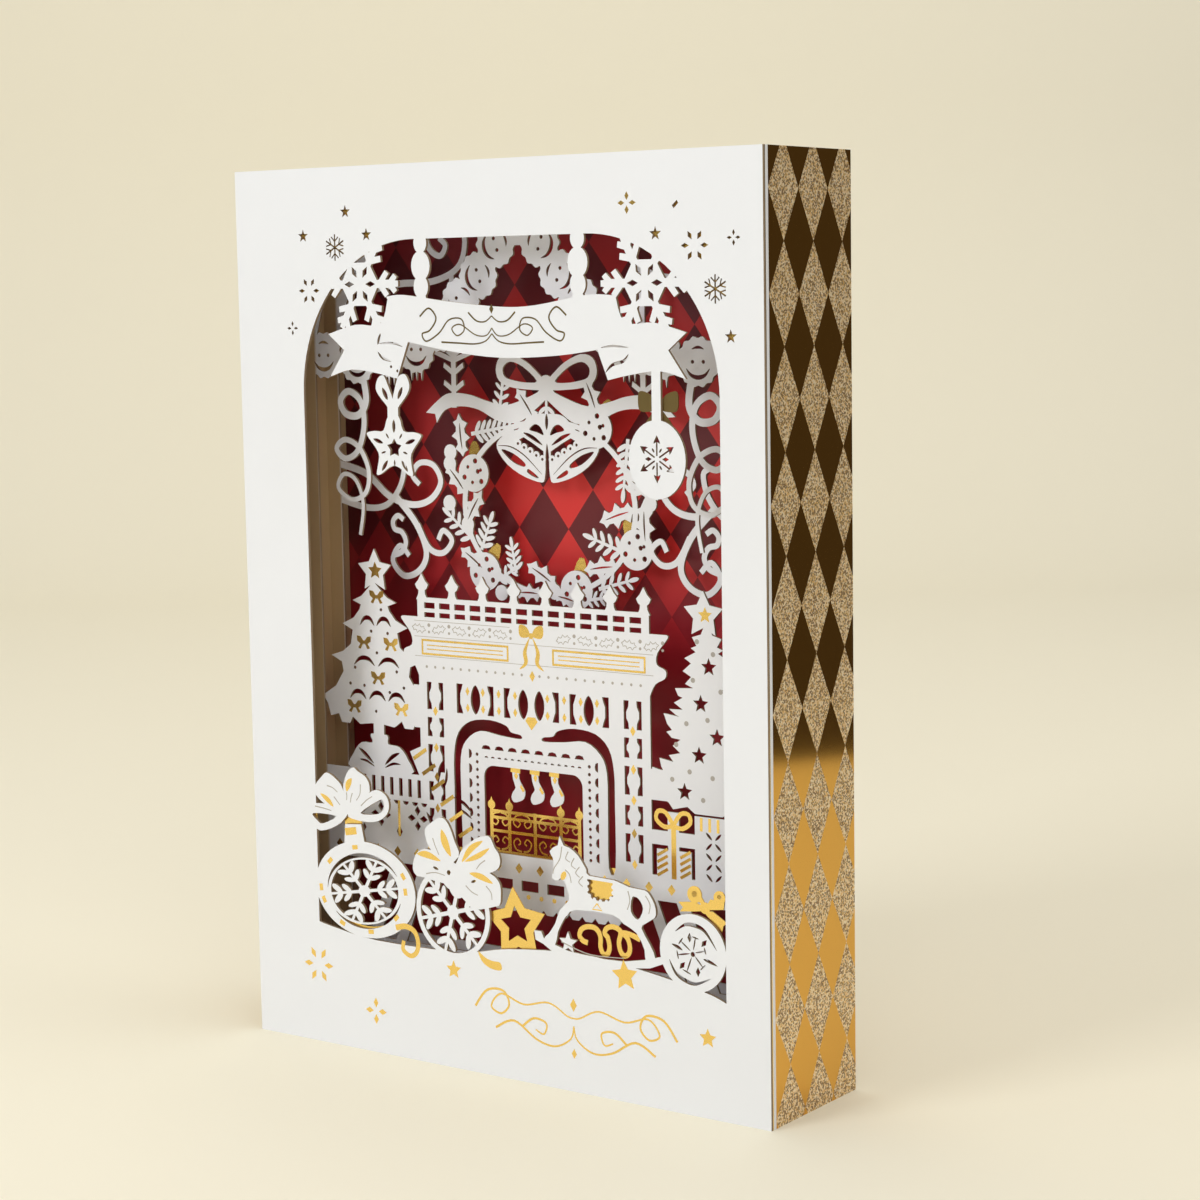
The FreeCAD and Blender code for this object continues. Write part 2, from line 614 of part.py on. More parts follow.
def bucket_cuts():
    cuts = []
    for k in range(7):
        x = -43.8 + 2.43 * k
        cuts.append(rectangle(x - 0.42, 50.6, x + 0.42, 54.2))
    for x in (-40.2, -30.2):
        cuts.append(star(x, 46.2, 2.6, 1.1, 4))
    cuts.append([(-45.2, 59.4), (-41.0, 56.6), (-45.0, 57.2)])
    cuts.append([(-35.0, 59.4), (-38.6, 56.6), (-35.0, 57.2)])
    return cuts


def tilted_gift():
    body = [(-31.4, 60.0), (-27.8, 61.6), (-15.6, 46.0), (-17.0, 41.0), (-22.0, 41.0)]
    upper = [(-25.0, 53.0), (-24.4, 59.4), (-22.2, 60.8), (-20.6, 57.6), (-21.8, 52.0)]
    lower = [(-22.2, 52.8), (-17.4, 51.8), (-13.4, 49.4), (-13.6, 46.2), (-17.6, 46.6)]
    return [body, upper, lower]


def right_gifts():
    near = rectangle(28.0, 47.4, 39.0, 50.2)
    far = rectangle(38.4, band_top - 1, scene_opening_half + 1, 53.8)
    return [near, far, rectangle(32.2, band_top - 1, 34.8, 54.0), rectangle(29.6, band_top - 1, 37.6, 46.6)]


def lattice_cuts():
    cuts = []
    for k in range(2):
        for row in range(2):
            x, z = 41.4 + 4.6 * k, 43.8 + 4.6 * row
            cuts.append(star(x, z, 2.3, 0.5, 4, 45))
    return cuts


def base_cuts():
    return [rectangle(x - 2.0, base_low + 4.4, x + 2.0, band_low) for x in (-8.0, -1.6, 4.8, 11.2, 17.6)]


def legs():
    outlines = []
    for side in (-1, 1):
        for x in (26.4, 33.6):
            outlines.append([(side * x, band_low + 1), (side * (x + 2.8), band_low + 1),
                             (side * (x + 10.4), foot_height - 1), (side * (x + 7.6), foot_height - 1)])
    return outlines


def tree_cuts():
    cuts = []
    for x, z in ((41.4, 82.5), (39.6, 75.4), (43.2, 69.2), (39.2, 65.5), (35.8, 58.2)):
        cuts.append(star(x, z, 1.8, 0.75, 4))
    for z, x in ((86.0, -41.9), (86.0, -37.7), (78.0, -43.4), (78.0, -36.6), (71.0, -43.0), (71.0, -37.0)):
        cuts.append(crescent(x, z - 1.0, 1.9, 30, 150, 0.9, 2))
    return cuts


def scene_sheet():
    half = scene_opening_half
    opening = arch_outline(-half, foot_height, half, scene_opening_top, scene_arch_run, scene_arch_rise, 5)
    adds = swag() + curly_ribbon() + mirrored(curly_ribbon(), swag_middle)
    adds += fence() + [mantle(), rectangle(-hearth_half, band_top - 1, hearth_half, mantle_low + 1)]
    adds += [rectangle(-half - 1, band_low, half + 1, band_top), rectangle(-10.5, base_low, 21.0, band_top)]
    adds.append(rectangle(-half - 1, band_top - 1, -47.0, 55.3))
    adds += [tree(-40.0, 94.6, left_tiers), star(-40.0, 96.6, 4.5, 2.5)]
    adds += [tree(41.6, 91.4, right_tiers), star(40.8, 92.2, 4.5, 2.5)]
    adds += bucket() + tilted_gift() + right_gifts() + legs()
    adds += [rectangle(hearth_half - 1, 56.0, 33.0, 62.0), rectangle(-30.0, 65.2, -27.0, 74.0)]
    cuts = swag_cuts() + hearth_cuts() + bucket_cuts() + lattice_cuts() + base_cuts() + tree_cuts()
    cuts.append([(-24.2, 50.0), (-22.6, 54.0), (-21.6, 57.8), (-22.6, 58.6), (-23.6, 54.0)])
    picture = stretched([("cut", [opening]), ("add", adds), ("cut", cuts)])
    y = front_y + scene_depth
    sheet = cut_sheet([("add", [sheet_rectangle()])] + picture, y, sheet_thickness)
    return with_tabs(sheet, y, wreath_depth - scene_depth - glue_gap)


def fire_screen():
    # Gold foil screen standing in the hearth, on a strip glued behind the base
    half = fire_half - 1.3
    adds = []
    for x in (-half, -screen_bay, 0.0, screen_bay, half):
        adds.append(rectangle(x - 0.45, fire_low - 0.5, x + 0.45, screen_top + 0.4))
    for z in (fire_low + 0.2, fire_low + 4.4, screen_top):
        adds.append(rectangle(-half, z - 0.4, half, z + 0.4))
    for x in (-half, -screen_bay, screen_bay, half):
        adds.append(diamond(x, screen_top + 1.2, 1.3, 1.1, 90))
    foot = rectangle(-hearth_half + 0.5, band_low + 0.5, hearth_half - 0.5, fire_low)
    y = front_y + scene_depth + sheet_thickness
    return cut_sheet(stretched([("add", [foot] + adds)]), y, trim_thickness)


def stockings():
    outlines = []
    for x in (-4.6, 0.2, 5.0):
        sock = [(-0.9, 0.8), (0.9, 0.8), (0.8, -2.4), (2.2, -4.6), (1.4, -6.6), (-0.8, -7.2), (-1.2, -6.0),
                (0.0, -4.6), (-0.9, -2.4)]
        outlines.append(placed(sock, x, fire_top + 0.2))
    outlines.append(rectangle(-8.0, fire_top + 0.5, 8.0, fire_top + 2.0))
    y = front_y + scene_depth + sheet_thickness
    return cut_sheet(stretched([("add", outlines)]), y, trim_thickness)


# Wreath sheet
def scrolls():
    paths = [[(-54.6, 118.0), (-47.0, 116.0), (-41.0, 111.6), (-35.0, 110.0), (-29.2, 111.6), (-27.2, 115.4),
              (-30.0, 118.6), (-34.0, 117.4)],
             [(-54.6, 110.6), (-47.0, 109.0), (-40.0, 111.0), (-36.8, 118.0)],
             [(-39.0, 111.4), (-34.0, 106.2), (-31.4, 100.4), (-33.2, 96.6), (-38.0, 95.4), (-39.6, 99.8)],
             [(-39.8, 99.6), (-37.0, 103.2), (-39.0, 106.4)],
             [(-33.6, 106.0), (-30.6, 101.2), (-26.0, 100.8), (-26.4, 104.6)],
             [(-46.0, 153.6), (-37.0, 155.0), (-28.0, 155.4), (-21.6, 158.0), (-19.6, 163.0), (-21.0, 169.0)],
             [(-30.6, 169.0), (-29.2, 162.6), (-25.6, 160.6)]]
    outlines = []
    for path in paths:
        outlines += strip(path, 1.4, 1.2, 4)
    return outlines


def hanging_flake():
    x = -23.2
    outlines = [rectangle(x - 0.6, 131.0, x + 0.6, 156.8)]
    for z in (134.0, 137.5, 141.0):
        for hand in (-1, 1):
            outlines.append([(x, z), (x, z - 1.2), (x + hand * 2.6, z + 0.6), (x + hand * 2.4, z + 1.6)])
    return outlines


# Places on the wreath, as (x, height above its middle, turn), with the radius before the turn for baubles
wreath_leaves = ((-22.6, 15.0, 96), (-6.4, 20.0, 128), (-23.6, 5.0, 120), (-19.0, 0.4, 55),
                 (-20.0, -9.0, 130), (-4.6, -13.4, 140), (-1.6, -17.4, 10), (12.4, -11.0, 186),
                 (16.6, -1.0, 20), (22.6, -1.8, 95), (21.4, 10.0, 120))
wreath_sprigs = ((-9.0, 16.4, 176), (18.6, 15.6, 262), (19.0, -5.6, 174), (9.0, -17.0, 36), (-9.4, -14.6, 84),
                 (-17.0, -12.0, 48), (-19.6, -7.0, 140))
wreath_baubles = ((11.8, 15.8, 3.9, -30), (-18.6, 6.4, 3.8, 0), (21.0, -7.4, 4.0, 25), (6.6, -16.0, 3.9, -10),
                  (-16.2, -13.4, 3.9, -30))
wreath_berries = ((-24.0, 10.9), (-25.0, 8.2), (-24.8, 0.6), (-18.0, 19.0), (-13.4, -16.4), (-6.6, -18.0),
                  (2.0, -18.6))


def wreath_ring():
    outer = circle(0, wreath_height, wreath_radius + 0.9, 20, 0.0, wreath_squash)
    inner = circle(0, wreath_height, wreath_radius - 0.9, 20, 0.0, wreath_squash)
    return outer, inner


def wreath_foliage():
    outlines = [holly(x, wreath_height + lift, 8.6, turn) for x, lift, turn in wreath_leaves]
    for x, lift, turn in wreath_sprigs:
        outlines += sprig(x, wreath_height + lift, 8.6, turn)
    outlines += [circle(x, wreath_height + lift, radius, 9) for x, lift, radius, lean in wreath_baubles]
    outlines += [circle(x, wreath_height + lift, 1.6, 5) for x, lift in wreath_berries]
    return outlines


def bells():
    bell = [(0.4, 23.0), (-4.4, 22.2), (-6.6, 18.4), (-8.4, 14.6), (-11.6, 13.4), (-11.0, 11.0), (-5.6, 7.8),
            (-1.2, 7.0), (-0.6, 9.4), (0.4, 14.6)]
    return [placed(bell, 0, wreath_height - 1.0), placed(bell, 0, wreath_height - 1.0, 1.0, 0, True)]


def bell_cuts():
    mouth = [(-10.4, 12.6), (-7.4, 12.0), (-2.0, 8.2), (-5.4, 9.2)]
    band = [(-6.6, 16.8), (-2.0, 13.4), (-1.6, 14.2), (-6.2, 17.6)]
    top_band = [(-4.8, 21.0), (-1.8, 17.6), (-1.2, 18.4), (-3.6, 21.4)]
    cuts = []
    for flip in (False, True):
        for points in (mouth, band, top_band):
            cuts.append(placed(points, 0, wreath_height - 1.0, 1.0, 0, flip))
    return cuts


def bow_and_tails():
    loop = [(-0.6, 0.8), (-4.4, 4.0), (-8.6, 5.9), (-11.6, 4.9), (-12.2, 1.8), (-9.4, -0.5), (-4.4, -1.1),
            (-0.6, -1.0)]
    tail = [(-0.8, -1.0), (-4.5, -2.6), (-10.0, -4.2), (-15.0, -3.4), (-19.5, -2.2), (-24.5, -2.0),
            (-27.6, -3.6), (-30.6, -6.0), (-28.2, -6.2), (-27.8, -8.0), (-25.6, -5.4), (-21.6, -4.6),
            (-17.0, -5.2), (-12.0, -7.4), (-7.0, -7.6), (-3.0, -5.2), (0.4, -2.6)]
    outlines = [circle(0, bow_height, 1.7, 8)]
    for flip in (False, True):
        outlines += [placed(loop, 0, bow_height, 1.0, 0, flip), placed(tail, 0, bow_height, 1.0, 0, flip)]
    return outlines


def bow_cuts():
    eye = [(-2.4, 0.6), (-5.6, 3.2), (-9.0, 4.2), (-10.4, 2.6), (-8.6, 0.9), (-5.0, 0.4)]
    return [placed(eye, 0, bow_height), placed(eye, 0, bow_height, 1.0, 0, True)]


def wreath_sheet():
    half = wreath_opening_half
    opening = arch_outline(-half, foot_height, half, scene_opening_top, scene_arch_run, scene_arch_rise, 5)
    ring, hole = wreath_ring()
    adds = wreath_foliage() + bells() + bow_and_tails()
    for outlines in (scrolls(), hanging_flake()):
        adds += outlines + mirrored(outlines)
    adds.append(rectangle(-1.0, wreath_height + 20, 1.0, bow_height))
    cuts = bell_cuts() + bow_cuts()
    picture = stretched([("cut", [opening]), ("add", [ring]), ("cut", [hole]), ("add", adds), ("cut", cuts)])
    y = front_y + wreath_depth
    sheet = cut_sheet([("add", [sheet_rectangle()])] + picture, y, sheet_thickness)
    return with_tabs(sheet, y, back_depth - wreath_depth - glue_gap)


def wreath_caps():
    # Small gold caps glued behind the upper edge of the baubles
    cap = [(-1.7, -1.0), (1.7, -1.0), (1.1, 1.6), (0.5, 2.6), (-0.5, 2.6), (-1.1, 1.6)]
    caps = {}
    for i, (x, lift, radius, lean) in enumerate(wreath_baubles):
        angle = math.radians(90 + lean)
        edge_x, edge_z = x + radius * math.cos(angle), wreath_height + lift + radius * math.sin(angle)
        outlines = [placed(cap, edge_x, edge_z, 1.0, lean)]
        y = front_y + wreath_depth + sheet_thickness
        caps[f"wreath_cap_{i + 1}"] = cut_sheet(stretched([("add", outlines)]), y, trim_thickness)
    return caps


def back_liner():
    # Red panel with two side tabs folded back to the rear wall of the case
    y0 = front_y + back_depth
    y1 = card_depth / 2 - case_wall
    z0, z1 = sheet_end_gap, card_height - sheet_end_gap
    x1 = inner_half_width
    pieces = [block(-x1, y0, z0, x1, y0 + sheet_thickness, z1)]
    for side in (-1, 1):
        low_x, high_x = sorted((side * x1, side * (x1 - sheet_thickness)))
        pieces.append(block(low_x, y0, z0, high_x, y1, z1))
    return fused(pieces)


os.makedirs("parts", exist_ok=True)
nodes = {
    "front_panel": front_panel(),
    "front_foil": front_foil(),
    "front_board": front_board(),
    **front_foil_pieces(),
    "scene_sheet": scene_sheet(),
    "fire_screen": fire_screen(),
    "stockings": stockings(),
    "wreath_sheet": wreath_sheet(),
    **wreath_caps(),
    "back_liner": back_liner(),
    "left_liner": side_liner(-1),
    "right_liner": side_liner(1),
    "case": case(),
}
for name, shape in nodes.items():
    shape.exportStep(f"parts/{name}.step")
    print(name, len(shape.Solids), round(shape.Volume, 1))
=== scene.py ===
import math

import bmesh
import bpy
from mathutils import Matrix, Vector
from mathutils.geometry import delaunay_2d_cdt


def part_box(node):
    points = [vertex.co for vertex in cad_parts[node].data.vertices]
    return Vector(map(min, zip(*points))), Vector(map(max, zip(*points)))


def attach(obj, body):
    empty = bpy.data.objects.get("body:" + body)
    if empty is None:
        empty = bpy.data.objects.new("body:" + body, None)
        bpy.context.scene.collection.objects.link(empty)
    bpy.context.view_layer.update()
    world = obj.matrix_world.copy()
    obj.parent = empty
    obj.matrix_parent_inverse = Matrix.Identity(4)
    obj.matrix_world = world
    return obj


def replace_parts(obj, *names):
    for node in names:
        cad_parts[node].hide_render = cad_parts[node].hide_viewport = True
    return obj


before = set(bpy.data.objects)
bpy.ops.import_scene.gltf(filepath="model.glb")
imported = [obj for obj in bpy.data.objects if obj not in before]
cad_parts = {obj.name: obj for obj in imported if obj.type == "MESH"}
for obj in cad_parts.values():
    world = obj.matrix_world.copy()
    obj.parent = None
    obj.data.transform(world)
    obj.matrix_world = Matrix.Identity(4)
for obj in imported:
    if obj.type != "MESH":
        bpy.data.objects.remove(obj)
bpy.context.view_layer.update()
mm = 0.001
print("frame loaded")


def nodeBox(node):
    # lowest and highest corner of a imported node, in millimetres
    low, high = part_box(node)
    return low / mm, high / mm


# Flat outlines, as (x, z) points in millimetres
def circle(x, z, radius, corners=28, turn=0.0, squash=1.0):
    steps = [turn + 2 * math.pi * i / corners for i in range(corners)]
    return [(x + radius * math.cos(a), z + squash * radius * math.sin(a)) for a in steps]


def star(x, z, outer, inner, points=5, turn=90.0):
    corners = []
    for i in range(2 * points):
        radius, angle = (inner if i % 2 else outer), math.radians(turn + 180.0 * i / points)
        corners.append((x + radius * math.cos(angle), z + radius * math.sin(angle)))
    return corners


def rectangle(x0, z0, x1, z1):
    return [(x0, z0), (x1, z0), (x1, z1), (x0, z1)]


def placed(points, x, z, size=1.0, turn=0.0, flip=False):
    c, s = math.cos(math.radians(turn)) * size, math.sin(math.radians(turn)) * size
    side = -1.0 if flip else 1.0
    return [(x + side * (c * u - s * v), z + s * u + c * v) for u, v in points]


def bothWays(points, x, z, size=1.0):
    return [placed(points, x, z, size), placed(points, x, z, size, 0, True)]


def diamond(x, z, halfLength, halfWidth, turn=0.0):
    return placed([(halfLength, 0), (0, halfWidth), (-halfLength, 0), (0, -halfWidth)], x, z, 1.0, turn)


def mirrored(outlines, middle=0.0):
    return [[(2 * middle - x, z) for x, z in points] for points in outlines]


def smooth(points, steps=4, closed=True):
    # soft line through the given points
    count = len(points)
    line = []
    for i in range(count if closed else count - 1):
        if closed:
            a, b, c, d = (points[(i + k) % count] for k in (-1, 0, 1, 2))
        else:
            a, b, c, d = (points[min(max(i + k, 0), count - 1)] for k in (-1, 0, 1, 2))
        for k in range(steps):
            t = k / steps
            line.append(tuple(0.5 * (2 * b[j] + (c[j] - a[j]) * t + (2 * a[j] - 5 * b[j] + 4 * c[j] - d[j]) * t * t
                                     + (3 * b[j] - a[j] - 3 * c[j] + d[j]) * t * t * t) for j in (0, 1)))
    return line if closed else line + [points[-1]]


def band(path, width, endWidth=None):
    # a strip of paper along a path, one short outline for each step
    last, count = (width if endWidth is None else endWidth), len(path)
    sides = []
    for i, (x, z) in enumerate(path):
        x0, z0 = path[max(i - 1, 0)]
        x1, z1 = path[min(i + 1, count - 1)]
        length = math.hypot(x1 - x0, z1 - z0)
        half = 0.5 * (width + (last - width) * i / (count - 1))
        nx, nz = -(z1 - z0) / length * half, (x1 - x0) / length * half
        sides.append(((x + nx, z + nz), (x - nx, z - nz)))
    return [[a, b, d, c] for (a, b), (c, d) in zip(sides, sides[1:])]


def softBand(points, width, endWidth=None, steps=6):
    return band(smooth(points, steps, False), width, endWidth)


def slit(points, width, steps=5):
    # a narrow cut along a path, widest at its middle
    path = smooth(points, steps, False)
    sides = []
    for i, (x, z) in enumerate(path):
        x0, z0 = path[max(i - 1, 0)]
        x1, z1 = path[min(i + 1, len(path) - 1)]
        length = math.hypot(x1 - x0, z1 - z0)
        half = 0.5 * width * math.sin(math.pi * i / (len(path) - 1)) + 0.03
        sides.append(((x - (z1 - z0) / length * half, z + (x1 - x0) / length * half),
                      (x + (z1 - z0) / length * half, z - (x1 - x0) / length * half)))
    return [a for a, b in sides] + [b for a, b in reversed(sides)]


def arc(x, z, radius, start, end, count=5):
    turns = [math.radians(start + (end - start) * i / (count - 1)) for i in range(count)]
    return [(x + radius * math.cos(a), z + radius * math.sin(a)) for a in turns]


def flake(x, z, reach, arm, core, turn=0.0):
    # six-armed snowflake with two pairs of twigs on each arm
    halfArm = [(core, arm), (0.50 * reach, arm), (0.66 * reach, 0.27 * reach), (0.76 * reach, 0.20 * reach),
               (0.67 * reach, arm), (0.76 * reach, arm), (0.88 * reach, 0.20 * reach), (0.97 * reach, 0.13 * reach),
               (0.92 * reach, 0.8 * arm), (reach, 0.7 * arm)]
    points = []
    for k in range(6):
        side = [(u, -v) for u, v in halfArm] + [(u, v) for u, v in reversed(halfArm)]
        points += placed(side, x, z, 1.0, turn + 60.0 * k)
    return points


def rays(x, z, radius, halfLength, halfWidth, turn=0.0, count=6):
    outlines = []
    for k in range(count):
        angle = turn + 360.0 * k / count
        u, v = radius * math.cos(math.radians(angle)), radius * math.sin(math.radians(angle))
        outlines.append(diamond(x + u, z + v, halfLength, halfWidth, angle))
    return outlines


def holly(x, z, length, turn):
    leaf = [(-0.5, 0), (-0.40, 0.07), (-0.30, 0.20), (-0.20, 0.11), (-0.10, 0.13), (0.0, 0.27), (0.10, 0.13),
            (0.20, 0.12), (0.32, 0.19), (0.36, 0.08), (0.5, 0), (0.34, -0.08), (0.26, -0.22), (0.14, -0.12),
            (0.04, -0.13), (-0.08, -0.26), (-0.16, -0.12), (-0.26, -0.11), (-0.36, -0.17), (-0.40, -0.07)]
    return placed(leaf, x, z, length, turn)


def foilBow(x, z, size):
    loop = [(-0.5, 0.5), (-1.8, 2.3), (-4.2, 3.0), (-4.7, 1.2), (-4.2, -0.8), (-1.8, -0.9), (-0.5, -0.4)]
    end = [(-0.8, -0.6), (-2.6, -2.6), (-4.6, -5.4), (-2.6, -5.0), (-1.6, -4.8), (-0.2, -2.4), (0.4, -0.8)]
    return [circle(x, z, 1.1 * size, 16)] + bothWays(smooth(loop, 4), x, z, size) + bothWays(end, x, z, size)


def windings(outline, x, z):
    # how often an outline goes round a point
    turns = 0
    for (x0, z0), (x1, z1) in zip(outline, outline[1:] + outline[:1]):
        if (z0 <= z) != (z1 <= z):
            side = (x1 - x0) * (z - z0) - (x - x0) * (z1 - z0)
            turns += 1 if z1 > z0 and side > 0 else -1 if z1 <= z0 and side < 0 else 0
    return turns


# Sheets of paper: outlines are added and cut away in order, then the sheet gets its thickness
def paperPiece(name, steps, front, thickness, finishes, blocks=()):
    outlines, points, edges = [], [], []
    for action, shapes in steps:
        for outline in shapes:
            across, up = [x for x, z in outline], [z for x, z in outline]
            outlines.append((action == "add", min(across), max(across), min(up), max(up), outline))
            first, count = len(points), len(outline)
            points += [Vector(p) for p in outline]
            edges += [(first + i, first + (i + 1) % count) for i in range(count)]
    corners, _, triangles, _, _, _ = delaunay_2d_cdt(points, edges, [], 0, 1e-4, True)
    outlines.reverse()
    paper = bmesh.new()
    verts = [paper.verts.new((x * mm, front * mm, z * mm)) for x, z in corners]
    for triangle in triangles:
        x, z = (sum(corners[i][axis] for i in triangle) / 3 for axis in (0, 1))
        for added, x0, x1, z0, z1, outline in outlines:
            if x0 < x < x1 and z0 < z < z1 and windings(outline, x, z):
                if added:
                    paper.faces.new([verts[i] for i in triangle])
                break
    bmesh.ops.delete(paper, geom=[v for v in paper.verts if not v.link_faces], context="VERTS")
    grown = bmesh.ops.extrude_face_region(paper, geom=paper.faces[:], use_keep_orig=True)
    moved = [g for g in grown["geom"] if isinstance(g, bmesh.types.BMVert)]
    bmesh.ops.translate(paper, verts=moved, vec=(0, thickness * mm, 0))
    bmesh.ops.recalc_face_normals(paper, faces=paper.faces[:])
    for face in paper.faces:
        face.material_index = 1 if abs(face.normal.y) < 0.5 else 0
    for low, high in blocks:
        size = Vector(high) - Vector(low)
        middle = (Vector(high) + Vector(low)) / 2
        place = Matrix.Translation(middle * mm) @ Matrix.Diagonal((*(size * mm), 1.0))
        bmesh.ops.create_cube(paper, size=1.0, matrix=place)
    return addPiece(name, paper, finishes)


def addPiece(name, shape, finishes):
    mesh = bpy.data.meshes.new(name)
    shape.to_mesh(mesh)
    shape.free()
    for finish in finishes:
        mesh.materials.append(finish)
    piece = bpy.data.objects.new(name, mesh)
    bpy.context.scene.collection.objects.link(piece)
    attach(piece, "root")
    print("made", name, len(mesh.polygons))
    return piece


# Shared effects
def newGroup(name, inputs, outputs):
    group = bpy.data.node_groups.new(name, "ShaderNodeTree")
    for label, kind, value in inputs:
        socket = group.interface.new_socket(label, in_out="INPUT", socket_type=kind)
        if value is not None:
            socket.default_value = value
    for label, kind in outputs:
        group.interface.new_socket(label, in_out="OUTPUT", socket_type=kind)
    return group, group.nodes.new("NodeGroupInput"), group.nodes.new("NodeGroupOutput")


def mathNode(tree, operation, a, b=None, c=None):
    node = tree.nodes.new("ShaderNodeMath")
    node.operation = operation
    for i, value in enumerate((a, b, c)):
        if value is None:
            continue
        if isinstance(value, (int, float)):
            node.inputs[i].default_value = value
        else:
            tree.links.new(value, node.inputs[i])
    return node.outputs[0]


def scaled(tree, value, start, width):
    # distance beyond start, as a share of width, both in millimetres
    return mathNode(tree, "DIVIDE", mathNode(tree, "SUBTRACT", value, start * mm), width * mm)


def diamondGroup():
    # tall diamonds in rows: Mask is 1 on every second one, Cell tells them apart, Rim is small at their edges
    group, inputs, outputs = newGroup(
        "diamondRows",
        [("Across", "NodeSocketFloat", 0.0), ("Up", "NodeSocketFloat", 0.0),
         ("Half Width", "NodeSocketFloat", 0.005), ("Half Height", "NodeSocketFloat", 0.009),
         ("Middle Across", "NodeSocketFloat", 0.0), ("Middle Up", "NodeSocketFloat", 0.0)],
        [("Mask", "NodeSocketFloat"), ("Cell", "NodeSocketFloat"), ("Rim", "NodeSocketFloat")])
    source = inputs.outputs
    u = mathNode(group, "SUBTRACT", source["Across"], source["Middle Across"])
    u = mathNode(group, "DIVIDE", u, mathNode(group, "MULTIPLY", source["Half Width"], 2.0))
    v = mathNode(group, "SUBTRACT", source["Up"], source["Middle Up"])
    v = mathNode(group, "DIVIDE", v, mathNode(group, "MULTIPLY", source["Half Height"], 2.0))
    a = mathNode(group, "ADD", mathNode(group, "ADD", u, v), 0.5)
    b = mathNode(group, "ADD", mathNode(group, "SUBTRACT", u, v), 0.5)
    total = mathNode(group, "ADD", mathNode(group, "FLOOR", a), mathNode(group, "FLOOR", b))
    odd = mathNode(group, "ABSOLUTE", mathNode(group, "MODULO", total, 2.0))
    nearA = mathNode(group, "ABSOLUTE", mathNode(group, "SUBTRACT", mathNode(group, "FRACT", a), 0.5))
    nearB = mathNode(group, "ABSOLUTE", mathNode(group, "SUBTRACT", mathNode(group, "FRACT", b), 0.5))
    rim = mathNode(group, "SUBTRACT", 0.5, mathNode(group, "MAXIMUM", nearA, nearB))
    cell = mathNode(group, "ADD", mathNode(group, "MULTIPLY", mathNode(group, "FLOOR", a), 0.37),
                    mathNode(group, "MULTIPLY", mathNode(group, "FLOOR", b), 0.61))
    group.links.new(mathNode(group, "SUBTRACT", 1.0, odd), outputs.inputs["Mask"])
    group.links.new(mathNode(group, "FRACT", cell), outputs.inputs["Cell"])
    group.links.new(rim, outputs.inputs["Rim"])
    return group


def grainGroup():
    # fine fibres of card: Height for a bump, Mottle for slow changes of tone
    group, inputs, outputs = newGroup(
        "cardGrain", [("Vector", "NodeSocketVector", None), ("Fineness", "NodeSocketFloat", 900.0)],
        [("Height", "NodeSocketFloat"), ("Mottle", "NodeSocketFloat")])
    fine = group.nodes.new("ShaderNodeTexNoise")
    fine.inputs["Detail"].default_value = 4.0
    slow = group.nodes.new("ShaderNodeTexNoise")
    slow.inputs["Scale"].default_value = 22.0
    slow.inputs["Detail"].default_value = 3.0
    for noise in (fine, slow):
        group.links.new(inputs.outputs["Vector"], noise.inputs["Vector"])
    group.links.new(inputs.outputs["Fineness"], fine.inputs["Scale"])
    group.links.new(fine.outputs["Fac"], outputs.inputs["Height"])
    group.links.new(slow.outputs["Fac"], outputs.inputs["Mottle"])
    return group


diamondRows = diamondGroup()
cardGrain = grainGroup()


def newFinish(name, colour, roughness, metallic=0.0):
    finish = bpy.data.materials.new(name)
    finish.use_nodes = True
    shader = finish.node_tree.nodes["Principled BSDF"]
    shader.inputs["Base Color"].default_value = (*colour, 1.0)
    shader.inputs["Roughness"].default_value = roughness
    shader.inputs["Metallic"].default_value = metallic
    return finish, finish.node_tree, shader


def useGroup(tree, group, **values):
    node = tree.nodes.new("ShaderNodeGroup")
    node.node_tree = group
    for label, value in values.items():
        node.inputs[label.replace("_", " ")].default_value = value
    return node


def mixColours(tree, factor, first, second):
    node = tree.nodes.new("ShaderNodeMix")
    node.data_type = "RGBA"
    tree.links.new(factor, node.inputs["Factor"])
    for socket, value in ((node.inputs["A"], first), (node.inputs["B"], second)):
        if isinstance(value, tuple):
            socket.default_value = (*value, 1.0)
        else:
            tree.links.new(value, socket)
    return node.outputs["Result"]


def addBump(tree, shader, height, strength, distance):
    bump = tree.nodes.new("ShaderNodeBump")
    bump.inputs["Strength"].default_value = strength
    bump.inputs["Distance"].default_value = distance
    tree.links.new(height, bump.inputs["Height"])
    tree.links.new(bump.outputs["Normal"], shader.inputs["Normal"])
    return bump


def ramp(tree, value, stops):
    node = tree.nodes.new("ShaderNodeValToRGB")
    while len(node.color_ramp.elements) < len(stops):
        node.color_ramp.elements.new(0.5)
    for element, (position, colour) in zip(node.color_ramp.elements, stops):
        element.position = position
        element.color = (*colour, 1.0)
    tree.links.new(value, node.inputs["Fac"])
    return node.outputs["Color"]


def objectPoint(tree):
    place = tree.nodes.new("ShaderNodeTexCoord")
    apart = tree.nodes.new("ShaderNodeSeparateXYZ")
    tree.links.new(place.outputs["Object"], apart.inputs["Vector"])
    return place, apart


def cardFinish(name, colour, shade, roughness=0.62, bump=0.12):
    # uncoated card with fine fibres and a faint mottle towards the shade colour
    finish, tree, shader = newFinish(name, colour, roughness)
    place, _ = objectPoint(tree)
    grain = useGroup(tree, cardGrain)
    tree.links.new(place.outputs["Object"], grain.inputs["Vector"])
    tree.links.new(mixColours(tree, grain.outputs["Mottle"], colour, shade), shader.inputs["Base Color"])
    addBump(tree, shader, grain.outputs["Height"], bump, 0.00012)
    return finish


